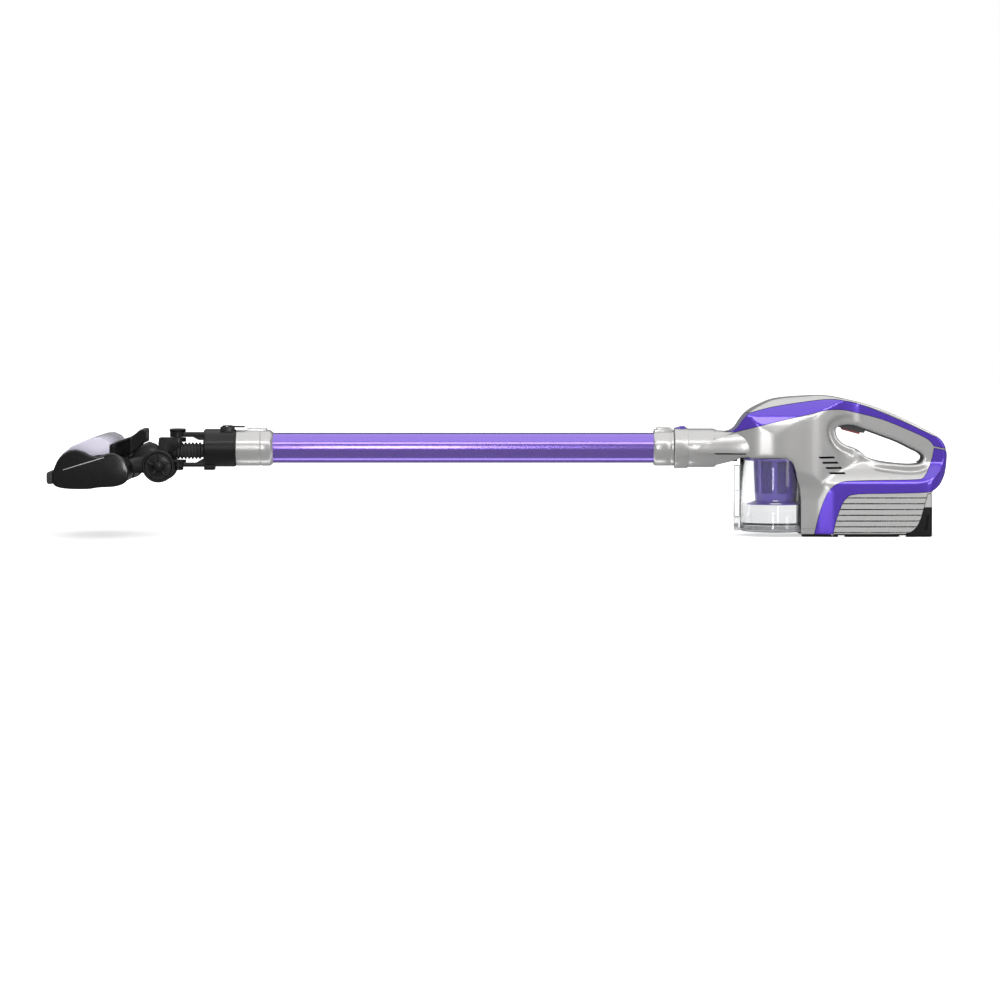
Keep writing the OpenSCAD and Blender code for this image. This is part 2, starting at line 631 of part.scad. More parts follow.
// the belt lies round the roller's pulley and the motor's pinion
belt_t = 1.5;
module belt_loop(grow) hull() {
    translate([brush_x, brush_z]) circle(12.1 + grow);
    translate([pinion_x, pinion_z]) circle(5.1 + grow);
}
module drive_belt() color([0.1, 0.1, 0.1]) prism_y(-inner_half + 7.5, -inner_half + 12.5) difference() {
    belt_loop(belt_t);
    belt_loop(0);
}
module motor_pinion() color("gold") {
    rod_y(-inner_half + 6, -inner_half + 14, 5, pinion_x, pinion_z);
    rod_y(-inner_half + 14, -inner_half + 20, 2, pinion_x, pinion_z);
}
module brush_motor() color([0.55, 0.56, 0.58]) difference() {
    rod_y(-inner_half + 15, -inner_half + 60, 12, pinion_x, pinion_z);
    rod_y(-inner_half + 14, -inner_half + 24, 2 + run_gap, pinion_x, pinion_z);
}

shell_left();
shell_right();
spine_cover();
upper_band();
lower_band();
rib_panel_left();
rib_panel_right();
base_tray();
base_screws();
grip_insert();
trigger_housing();
trigger();
trigger_spring();
switch_module();
circuit_board();
motor_can();
motor_mount();
motor_bearings();
rotor_shaft();
impeller();
exhaust_filter();
neck_duct();
neck_collar();
cup_seal();
rear_bumper();
battery_case();
battery_cells();
charge_socket();
cup_wall();
cup_lid();
lid_pin();
filter_basket();
pleated_filter();
wand_tube();
rear_collar();
front_collar();
release_button();
button_spring();
socket_yoke();
head_latch();
latch_pin();
swivel_pins();
pivot_block();
swivel_hose();
wheel_axle();
wheel_left();
wheel_right();
at_head() head_chassis();
at_head() top_cover();
at_head() brush_window();
at_head() end_cap_left();
at_head() end_cap_right();
at_head() front_bumper();
at_head() brush_roller();
at_head() roller_bearings();
at_head() drive_belt();
at_head() brush_motor();
at_head() motor_pinion();
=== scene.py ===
"""Cordless stick vacuum: the finished look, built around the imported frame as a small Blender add-on."""

import json
import math

import bpy
from bpy.props import FloatProperty, FloatVectorProperty, IntProperty, PointerProperty
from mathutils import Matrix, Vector


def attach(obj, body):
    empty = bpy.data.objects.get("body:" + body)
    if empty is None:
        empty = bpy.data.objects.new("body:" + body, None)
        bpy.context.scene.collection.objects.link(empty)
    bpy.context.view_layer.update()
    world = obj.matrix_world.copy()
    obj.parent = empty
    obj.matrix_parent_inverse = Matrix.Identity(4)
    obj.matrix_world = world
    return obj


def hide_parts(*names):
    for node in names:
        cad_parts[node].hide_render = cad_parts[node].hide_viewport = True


bl_info = {
    "name": "Stick vacuum maker",
    "version": (1, 0, 0),
    "blender": (4, 5, 0),
    "location": "View3D > Sidebar > Vacuum",
    "description": "Builds the finished shells, bands, dust cup, wand and floor head of a stick vacuum",
    "category": "Object",
}

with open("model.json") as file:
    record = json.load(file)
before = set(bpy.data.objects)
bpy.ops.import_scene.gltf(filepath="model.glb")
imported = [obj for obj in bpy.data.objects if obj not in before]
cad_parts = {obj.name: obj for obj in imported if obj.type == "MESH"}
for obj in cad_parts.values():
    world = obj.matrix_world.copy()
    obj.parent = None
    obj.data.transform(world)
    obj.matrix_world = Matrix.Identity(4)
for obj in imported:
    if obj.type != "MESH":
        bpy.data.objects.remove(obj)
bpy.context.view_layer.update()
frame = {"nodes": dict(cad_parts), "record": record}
MM = 0.001
WIDE = 90.0  # half length of the tools that cut right through
RIM_HALF = 23.5  # half width of the handle beside its opening
WAND_Z = 122.0
CUP_X = 384
CUP_ROOM_R = 51.2
MARK_R = 50.05  # the fill mark lies just outside the cup's wall
LID_PIN = (329, 14)
PIN_BORE = [(-12, 0.01), (-12, 1.6), (12, 1.6), (12, 0.01)]
SEAM_Z = (110.3, 111)  # the parting line on collars and neck
GROOVE_Z = (113.6, 115.7)  # the shadow line under the neck cheeks
TRIGGER_SLOT = (473.9, 500.9)
RIB_COUNT, RIB_FOOT, RIB_PITCH, RIB_GROOVE = 7, 5.5, 8, 1.5
VENT_COUNT, VENT_DROP, VENT_SHIFT = 4, 7.3, 5
FLOOR_GLOW = 0.5
ROOM_LIGHT = 0.22
LENS, SENSOR = 150, 36
VIEW_HALF = 0.6965  # half the width that the camera takes in, in metres
AIM_Z, EYE_TILT = 0.0492, 3.0

# ---- outlines in millimetres, side view [x, z] unless named otherwise ----
BACK = [
    (296, 147), (316, 145.5), (327, 151), (334, 161), (345, 173), (362, 183), (383, 191),
    (418, 194.5), (453, 195), (481, 190), (515, 181.5), (550, 168), (585, 151), (606, 139.5),
    (616, 129), (620.5, 117), (620.5, 104), (617.5, 86), (611, 73), (603, 65.5), (597, 62.5),
]
BELLY = [
    (598.5, 60), (598.5, 0), (414, 0), (411, 4), (411, 60), (409, 90), (404, 103), (394, 109),
    (334, 109), (326, 105), (296, 97),
]
OPENING = [
    (468, 152), (466, 143), (471, 133), (481, 126), (493, 122), (501, 117), (509, 110),
    (525, 104.5), (548, 101), (571, 99.5), (584, 102), (588, 110), (582, 117), (571, 122.5),
    (552, 132), (531, 140), (506, 149), (486, 155),
]
BAND_TOP = [
    (343.8, 171.6), (376.8, 180), (425.9, 187.5), (455.7, 190.3), (475, 188.6), (498.4, 183.3),
    (530.3, 171.6), (562.4, 157.7), (592, 144),
]
BAND_FOOT = [
    (325.7, 145), (353.4, 152.4), (391.7, 162), (425.9, 169.4), (443, 173.7), (455.7, 175.8),
    (475, 175.4), (498.4, 170.5), (530.3, 162), (562.4, 149.2), (592.2, 135.3), (601.8, 125),
]
BAND_INNER = [
    (601.8, 122.5), (599.6, 109.7), (594.3, 94.8), (587.9, 84.5), (579.4, 79.9), (540, 78.8),
    (487.7, 77.7), (468.5, 74.5), (455.7, 65), (447.2, 47.9), (440.8, 28.7), (434, -1),
]
BAND_OUTER = [
    (460, -1), (464.4, 20.2), (470.7, 39.4), (477.5, 52), (490.7, 59), (540, 60.4),
    (590, 61.8), (603, 65.5),
]
REAR_EDGE = [(592, 60), (588, 46), (582, 25), (577, 15), (570, 8), (560, 4)]
PLAN_FRONT = [
    (296, 27), (316, 31), (334, 40), (352, 48), (368, 51), (384, 52), (412, 48), (436, 44),
    (458, 36), (480, 27), (500, 21), (520, 21),
]
PLAN_REAR = [
    (430, 39), (438, 39.2), (461, 42.8), (472, 43), (540, 43), (585, 41), (603, 36), (614, 24), (621, 15),
]
SECTION_FRONT = [
    (39.5, 0), (39.5, 52), (41, 70), (46, 86), (54, 98), (58.6, 112), (56, 126), (52.5, 142),
    (49, 156), (44.5, 168), (38, 179), (29, 189), (16, 196),
]
CHIN = [(280, 0.01), (280, 26.6), (300, 26.6), (320, 27.2), (334, 28.4), (350, 31), (350, 0.01)]
NOSE = [(280, 0.01), (280, 27.1), (296, 27.1), (304, 29), (314, 33.5), (324, 41), (335, 56), (335, 0.01)]
TONGUE = [
    (270, 0.01), (270, 28.6), (275, 29.8), (284, 31.6), (296, 34.2), (312, 38.4), (326, 42), (336, 44),
    (348, 45.4),
]
SECTION_REAR = [(43, 0), (43, 62), (41, 74), (36, 84), (26, 94), (21, 104), (21, 200)]


# ---- modelling helpers ----
def curve_through(points, steps=6, closed=False):
    """A smooth line through the points."""
    count = len(points)
    out = []
    for i in range(count if closed else count - 1):
        if closed:
            a, b, c, d = (points[(i + k) % count] for k in (-1, 0, 1, 2))
        else:
            a, b, c, d = (points[min(max(i + k, 0), count - 1)] for k in (-1, 0, 1, 2))
        for step in range(steps):
            t = step / steps
            out.append(tuple(
                0.5 * (2 * q + (r - p) * t + (2 * p - 5 * q + 4 * r - s) * t * t
                       + (3 * q - p - 3 * r + s) * t ** 3)
                for p, q, r, s in zip(a, b, c, d)
            ))
    if not closed:
        out.append(points[-1])
    return out


def mirrored(points):
    """The outline with its mirror image over the first axis."""
    return list(points) + [(x, -y) for x, y in reversed(points)]


def mirrored_across(points):
    """The outline with its mirror image over the second axis."""
    return list(points) + [(-x, y) for x, y in reversed(points)]


def span(side, near, far):
    """The low and the high end of a stretch on one side of the middle plane."""
    return sorted((side * near, side * far))


def only(obj):
    """Selects one object and makes it active."""
    if bpy.context.mode != "OBJECT":
        bpy.ops.object.mode_set(mode="OBJECT")
    bpy.ops.object.select_all(action="DESELECT")
    obj.select_set(True)
    bpy.context.view_layer.objects.active = obj
    return obj


def named(name):
    """Names the primitive just added and settles its place into its mesh."""
    obj = bpy.context.object
    obj.name = name
    obj.data.name = name
    only(obj)
    bpy.ops.object.transform_apply(location=True, rotation=True, scale=True)
    return obj


def tidy_normals(obj, merge=0.00001):
    """Merges doubles and turns every face outwards."""
    only(obj)
    bpy.ops.object.mode_set(mode="EDIT")
    bpy.ops.mesh.select_all(action="SELECT")
    bpy.ops.mesh.remove_doubles(threshold=merge)
    bpy.ops.mesh.normals_make_consistent(inside=False)
    bpy.ops.object.mode_set(mode="OBJECT")
    return obj


def slab(name, outline, axis, low, high):
    """An outline in millimetres extruded along an axis."""
    place = {
        "x": lambda u, v: (low, u, v),
        "y": lambda u, v: (u, low, v),
        "z": lambda u, v: (u, v, low),
    }[axis]
    mesh = bpy.data.meshes.new(name)
    mesh.from_pydata([[c * MM for c in place(u, v)] for u, v in outline], [], [list(range(len(outline)))])
    obj = bpy.data.objects.new(name, mesh)
    bpy.context.scene.collection.objects.link(obj)
    only(obj)
    reach = [(high - low) * MM if a == axis else 0.0 for a in "xyz"]
    bpy.ops.object.mode_set(mode="EDIT")
    bpy.ops.mesh.select_all(action="SELECT")
    bpy.ops.mesh.extrude_region_move(TRANSFORM_OT_translate={"value": reach})
    bpy.ops.object.mode_set(mode="OBJECT")
    return tidy_normals(obj)


def copy_of(obj, name):
    """A copy with its own mesh."""
    new = obj.copy()
    new.data = obj.data.copy()
    new.name = name
    new.data.name = name
    bpy.context.scene.collection.objects.link(new)
    return new


def cad_copy(node, name):
    """A merged copy of a frame node."""
    new = copy_of(frame["nodes"][node], name)
    new.parent = None
    new.data.materials.clear()
    return tidy_normals(new)


def apply_modifier(obj, kind, **settings):
    """Adds a modifier and applies it at once."""
    only(obj)
    mod = obj.modifiers.new(kind.lower(), kind)
    for key, value in settings.items():
        setattr(mod, key, value)
    bpy.ops.object.modifier_apply(modifier=mod.name)
    return obj


def carve(obj, tool, operation="DIFFERENCE", keep=False):
    """Cuts, joins or intersects obj with a tool solid."""
    apply_modifier(obj, "BOOLEAN", object=tool, operation=operation, solver="MANIFOLD")
    if not len(obj.data.polygons):
        raise RuntimeError(f"{obj.name} has nothing left after the cut")
    if not keep:
        bpy.data.objects.remove(tool, do_unlink=True)
    return obj


def inset_copy(obj, depth, name):
    """A copy with its surface moved inwards, or outwards if depth is negative, in millimetres."""
    return apply_modifier(copy_of(obj, name), "DISPLACE", strength=-depth * MM, mid_level=0.0)


def smoothed(obj, angle=35.0):
    """Shades smooth, with edges sharper than the angle kept."""
    only(obj)
    bpy.ops.object.shade_smooth_by_angle(angle=math.radians(angle))
    return obj


def rounded(obj, width, segments=3, angle=30.0):
    """Bevels the edges that turn more than the angle, in millimetres."""
    return apply_modifier(
        obj, "BEVEL", width=width * MM, segments=segments, limit_method="ANGLE",
        angle_limit=math.radians(angle), use_clamp_overlap=True,
    )


def spun(name, line, center, axis, sides):
    """A closed line of points in millimetres turned a full circle about an axis."""
    mesh = bpy.data.meshes.new(name)
    count = len(line)
    mesh.from_pydata(
        [[c * MM for c in point] for point in line], [(i, (i + 1) % count) for i in range(count)], [],
    )
    obj = bpy.data.objects.new(name, mesh)
    bpy.context.scene.collection.objects.link(obj)
    only(obj)
    bpy.ops.object.mode_set(mode="EDIT")
    bpy.ops.mesh.select_all(action="SELECT")
    bpy.ops.mesh.spin(steps=sides, angle=math.tau, center=[c * MM for c in center], axis=axis)
    bpy.ops.object.mode_set(mode="OBJECT")
    return tidy_normals(obj)


def lathe_x(name, profile, y=0.0, z=WAND_Z, sides=96):
    """A closed profile of (x, radius) turned about a line along the wand."""
    return spun(name, [(x, y, z + r) for x, r in profile], (0, y, z), (1, 0, 0), sides)


def lathe_z(name, profile, x, y=0.0, sides=128):
    """A closed profile of (radius, z) turned about an upright axis."""
    return spun(name, [(x + r, y, z) for r, z in profile], (x, y, 0), (0, 0, 1), sides)


def lathe_y(name, profile, x, z, sides=96):
    """A closed profile of (y, radius) turned about a cross axis."""
    return spun(name, [(x, y, z + r) for y, r in profile], (x, 0, z), (0, 1, 0), sides)


def block(name, low, high, bevel=0.0, segments=3):
    """A box between two corners in millimetres, with rounded edges."""
    bpy.ops.object.select_all(action="DESELECT")
    size = [(b - a) * MM for a, b in zip(low, high)]
    middle = [(a + b) / 2 * MM for a, b in zip(low, high)]
    bpy.ops.mesh.primitive_cube_add(size=1, location=middle)
    bpy.context.object.scale = size
    obj = named(name)
    return rounded(obj, bevel, segments) if bevel else obj


def merged(name, parts):
    """Joins parts into one object."""
    only(parts[0])
    for part in parts[1:]:
        part.select_set(True)
    if len(parts) > 1:
        bpy.ops.object.join()
    parts[0].name = name
    parts[0].data.name = name
    return parts[0]


def dress(obj, body, slot, replaced=(), angle=35.0, look=None):
    """Gives a finished piece its material, its body and its slot."""
    obj.data.materials.clear()
    obj.data.materials.append(finish(look or slot))
    smoothed(obj, angle)
    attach(obj, body)
    if replaced:
        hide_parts(*replaced)
    return obj


# ---- finishes ----
def node_material(name, color, metallic=0.0, roughness=0.4, coat=0.0, **sockets):
    """A principled material with constant values on its own sockets."""
    mat = bpy.data.materials.new(name)
    mat.use_nodes = True
    shader = mat.node_tree.nodes["Principled BSDF"]
    shader.inputs["Base Color"].default_value = (*color, 1.0)
    shader.inputs["Metallic"].default_value = metallic
    shader.inputs["Roughness"].default_value = roughness
    shader.inputs["Coat Weight"].default_value = coat
    shader.inputs["Coat Roughness"].default_value = 0.05
    for key, value in sockets.items():
        shader.inputs[key.replace("_", " ")].default_value = value
    return mat, mat.node_tree, shader


def grain(tree, shader, color, scale, rough=(0.3, 0.4), tint=0.06, bump=0.02, stretch=(1, 1, 1), detail=4.0):
    """Fine variation in colour, roughness and height, in object coordinates."""
    nodes, links = tree.nodes, tree.links
    coords = nodes.new("ShaderNodeTexCoord")
    mapping = nodes.new("ShaderNodeMapping")
    mapping.inputs["Scale"].default_value = stretch
    noise = nodes.new("ShaderNodeTexNoise")
    noise.inputs["Scale"].default_value = scale
    noise.inputs["Detail"].default_value = detail
    links.new(coords.outputs["Object"], mapping.inputs["Vector"])
    links.new(mapping.outputs["Vector"], noise.inputs["Vector"])
    spread = nodes.new("ShaderNodeMapRange")
    spread.inputs["From Min"].default_value = 0.3
    spread.inputs["From Max"].default_value = 0.7
    spread.inputs["To Min"].default_value = rough[0]
    spread.inputs["To Max"].default_value = rough[1]
    links.new(noise.outputs["Fac"], spread.inputs["Value"])
    links.new(spread.outputs["Result"], shader.inputs["Roughness"])
    ramp = nodes.new("ShaderNodeValToRGB")
    ramp.color_ramp.elements[0].position = 0.3
    ramp.color_ramp.elements[1].position = 0.7
    ramp.color_ramp.elements[0].color = (*[c * (1 - tint) for c in color], 1)
    ramp.color_ramp.elements[1].color = (*[min(1, c * (1 + tint)) for c in color], 1)
    links.new(noise.outputs["Fac"], ramp.inputs["Fac"])
    links.new(ramp.outputs["Color"], shader.inputs["Base Color"])
    if bump:
        lift = nodes.new("ShaderNodeBump")
        lift.inputs["Strength"].default_value = 0.5
        lift.inputs["Distance"].default_value = bump * MM
        links.new(noise.outputs["Fac"], lift.inputs["Height"])
        links.new(lift.outputs["Normal"], shader.inputs["Normal"])


# slot: name, colour or the setting that holds it, shader values, grain
FINISH_TABLE = {
    "silver_paint": ("silver paint", (0.52, 0.515, 0.51), dict(metallic=0.68, coat=0.35),
        dict(scale=2600, rough=(0.27, 0.34), tint=0.05, bump=0.006)),
    "purple_gloss": ("purple gloss", "band_colour", dict(metallic=0.55, coat=1.0),
        dict(scale=1800, rough=(0.2, 0.27), tint=0.1, bump=0.003)),
    "purple_metal": ("purple anodised metal", "tube_colour", dict(metallic=0.8, coat=0.4),
        dict(scale=1500, rough=(0.19, 0.23), tint=0.02, bump=0, stretch=(0.05, 1, 1))),
    "purple_plastic": ("purple plastic", (0.075, 0.035, 0.37), dict(coat=0.3),
        dict(scale=700, rough=(0.32, 0.42), tint=0.08, bump=0.01)),
    "grey_plastic": ("grey plastic", (0.47, 0.47, 0.465), dict(metallic=0.4),
        dict(scale=1500, rough=(0.36, 0.46), tint=0.05, bump=0.012)),
    "black_plastic": ("black plastic", (0.005, 0.005, 0.0055), dict(coat=0.1, Specular_IOR_Level=0.32),
        dict(scale=1300, rough=(0.3, 0.42), tint=0.2, bump=0.02)),
    "gloss_black": ("gloss black plastic", (0.004, 0.004, 0.0045), dict(coat=0.5, Specular_IOR_Level=0.3),
        dict(scale=260, rough=(0.14, 0.22), tint=0.2, bump=0.004)),
    "dark_grip": ("dark grip", (0.055, 0.055, 0.06), {},
        dict(scale=2200, rough=(0.5, 0.62), tint=0.15, bump=0.05)),
    "red_plastic": ("red plastic", (0.3, 0.05, 0.06), dict(coat=0.2),
        dict(scale=900, rough=(0.35, 0.45), tint=0.1, bump=0.01)),
    "steel": ("bare steel", (0.56, 0.56, 0.57), dict(metallic=1.0),
        dict(scale=1200, rough=(0.22, 0.34), tint=0.06, bump=0.008, stretch=(0.1, 1, 1))),
    "board_green": ("circuit board", (0.01, 0.09, 0.03), dict(coat=0.6),
        dict(scale=500, rough=(0.25, 0.4), tint=0.25, bump=0.01)),
    "white_plastic": ("white plastic", (0.75, 0.75, 0.7), {},
        dict(scale=900, rough=(0.35, 0.45), tint=0.03, bump=0.01)),
    "filter_felt": ("filter felt", (0.72, 0.72, 0.69), dict(Sheen_Weight=0.4),
        dict(scale=1100, rough=(0.85, 0.95), tint=0.08, bump=0.2)),
    "seal_rubber": ("rubber", (0.02, 0.02, 0.021), {},
        dict(scale=1600, rough=(0.5, 0.65), tint=0.2, bump=0.03)),
    "cell_wrap": ("cell wrap", (0.03, 0.09, 0.28), dict(coat=0.5),
        dict(scale=500, rough=(0.2, 0.3), tint=0.06, bump=0.005)),
    "clear_cup": ("clear cup", (0.92, 0.925, 0.93), dict(roughness=0.02, Transmission_Weight=1.0, IOR=1.46),
        dict(scale=60, rough=(0.008, 0.03), tint=0.004, bump=0.01)),
    "window_clear": ("clear window", (0.74, 0.71, 0.83),
        dict(roughness=0.12, Transmission_Weight=0.18, IOR=1.4),
        dict(scale=60, rough=(0.08, 0.16), tint=0.01, bump=0.01)),
    "brush_nylon": ("brush nylon", (0.05, 0.025, 0.12), dict(Sheen_Weight=0.3),
        dict(scale=2400, rough=(0.55, 0.75), tint=0.3, bump=0.2, stretch=(1, 0.2, 1))),
    "brass": ("brass", (0.62, 0.44, 0.18), dict(metallic=1.0),
        dict(scale=1200, rough=(0.2, 0.3), tint=0.06, bump=0.005)),
    "lid": ("smoky clear lid", (0.6, 0.61, 0.62), dict(roughness=0.05, Transmission_Weight=0.8, IOR=1.49),
        dict(scale=60, rough=(0.03, 0.08), tint=0.01, bump=0.01)),
}
FINISH_TABLE["hose_rubber"] = FINISH_TABLE["seal_rubber"]
FINISH_TABLE["wheel_plastic"] = FINISH_TABLE["black_plastic"]
FINISHES = {}


def finish(slot):
    """The material for a slot, made once."""
    if slot not in FINISHES:
        name, colour, values, texture = FINISH_TABLE[slot]
        if isinstance(colour, str):
            colour = tuple(getattr(SIZES(), colour))
        mat, tree, shader = node_material(name, colour, **values)
        grain(tree, shader, colour, **texture)
        FINISHES[slot] = mat
    return FINISHES[slot]


# ---- settings ----
class VacuumSizes(bpy.types.PropertyGroup):
    """Sizes and colours a user may change."""

    voxel: FloatProperty(
        name="Shell voxel", description="Voxel that rounds the body shells",
        default=0.0016, min=0.001, max=0.004, unit="LENGTH",
    )
    rounding: IntProperty(
        name="Rounding", description="How far the body's edges are softened", default=16, min=4, max=60,
    )
    skin: FloatProperty(
        name="Skin", description="Thickness of the outer skins in millimetres", default=2.5, min=1.0, max=4.0,
    )
    seam: FloatProperty(
        name="Seam", description="Half width of a seam in millimetres", default=0.35, min=0.1, max=1.0,
    )
    band_colour: FloatVectorProperty(
        name="Band colour", description="Colour of the gloss bands", subtype="COLOR",
        default=(0.105, 0.045, 0.53), min=0, max=1,
    )
    tube_colour: FloatVectorProperty(
        name="Wand colour", description="Colour of the wand tube", subtype="COLOR",
        default=(0.25, 0.16, 0.62), min=0, max=1,
    )


def SIZES():
    return bpy.context.scene.vacuum_sizes


# ---- hand unit ----
def body_outline():
    return curve_through(BACK) + BELLY


def smooth_body():
    """The hand unit's whole form as one softly rounded solid."""
    form = slab("body_form", body_outline(), "y", -WIDE, WIDE)
    carve(form, slab("grip_hole", curve_through(OPENING, closed=True), "y", -WIDE - 5, WIDE + 5))
    front = slab("front_width", mirrored(curve_through(PLAN_FRONT)), "z", -5, 210)
    carve(front, slab("front_section", mirrored_across(SECTION_FRONT), "x", 290, 518), "INTERSECT")
    rear = slab("rear_width", mirrored(curve_through(PLAN_REAR)), "z", -5, 210)
    carve(rear, slab("rear_section", mirrored_across(SECTION_REAR), "x", 428, 625), "INTERSECT")
    carve(front, rear, "UNION")
    carve(form, front, "INTERSECT")
    chin = region("chin_room", [(285, 84), (343, 84), (343, 115.4), (285, 115.4)])
    carve(chin, lathe_x("chin_tube", CHIN))
    carve(form, chin)
    rim = grown(curve_through(OPENING, closed=True), 12)
    for low, high in ((-WIDE, -RIM_HALF), (RIM_HALF, WIDE)):
        carve(form, slab("rim_room", rim, "y", low, high))
    nose = region("nose_room", [(285, 84), (334, 84), (334, 180), (285, 180)])
    carve(nose, lathe_x("nose_round", NOSE))
    carve(form, nose)
    sizes = SIZES()
    apply_modifier(form, "REMESH", mode="VOXEL", voxel_size=sizes.voxel)
    apply_modifier(form, "SMOOTH", factor=0.5, iterations=sizes.rounding)
    return tidy_normals(form)


def tongue():
    """The pointed cheeks, one on each side, that reach forward over the neck."""
    outline = [
        (271, 118), (276, 123), (285, 129), (298, 134.5), (312, 139), (326, 143), (340, 147), (347.6, 140),
        (347.6, 122), (342, 116.4), (312, 116), (276, 116),
    ]
    cheek = region("neck_cheeks", curve_through(outline, 4, closed=True))
    carve(cheek, lathe_x("cheek_outer", TONGUE + [(348, 0.01)]), "INTERSECT")
    within = [(x, r - 5) for x, r in TONGUE[1:]]
    carve(cheek, lathe_x("cheek_inner", [(260, 0.01)] + within + [(360, 41), (360, 0.01)]))
    return rounded(cheek, 0.9, 3)


def region(name, outline, grow=0.0):
    """A through-going prism of a side-view outline, grown or shrunk by so many millimetres."""
    return slab(name, grown(outline, grow), "y", -WIDE, WIDE)


def grown(outline, by):
    """The outline moved outwards by so many millimetres, corner by corner."""
    if not by:
        return outline
    clean = [p for i, p in enumerate(outline) if math.dist(p, outline[i - 1]) > 0.01]
    area = sum(a[0] * b[1] - b[0] * a[1] for a, b in zip(clean, clean[1:] + clean[:1]))
    side = 1.0 if area > 0 else -1.0
    count = len(clean)
    out = []
    for i, (x, z) in enumerate(clean):
        before, after = clean[i - 1], clean[(i + 1) % count]
        d1 = Vector((x - before[0], z - before[1])).normalized()
        d2 = Vector((after[0] - x, after[1] - z)).normalized()
        n1 = Vector((d1.y, -d1.x)) * side
        n2 = Vector((d2.y, -d2.x)) * side
        mid = n1 + n2
        length = mid.length
        if length < 0.2:
            out.append((x + n1.x * by, z + n1.y * by))
            continue
        mid.normalize()
        stretch = min(2.0, 1.0 / max(0.3, mid.dot(n1)))
        out.append((x + mid.x * by * stretch, z + mid.y * by * stretch))
    return out


def upper_band_outline():
    return [(312, 145), (312, 172)] + curve_through(BAND_TOP) + [(607, 137), (640, 137), (640, 117)] \
        + curve_through(BAND_FOOT[::-1])


def spine_outline():
    return [(312, 172)] + curve_through(BAND_TOP) + [(607, 137), (640, 137), (640, 220), (312, 220)]


def lower_band_outline():
    return curve_through(BAND_INNER) + curve_through(BAND_OUTER) + [(640, 62), (640, 115.2)]


def panel_outline():
    return curve_through(BAND_OUTER) + [(599.5, 60.5)] + curve_through(REAR_EDGE) + [(458, 4)]


def rear_outline():
    return curve_through(REAR_EDGE) + [(560, -3), (605, -3), (605, 60)]


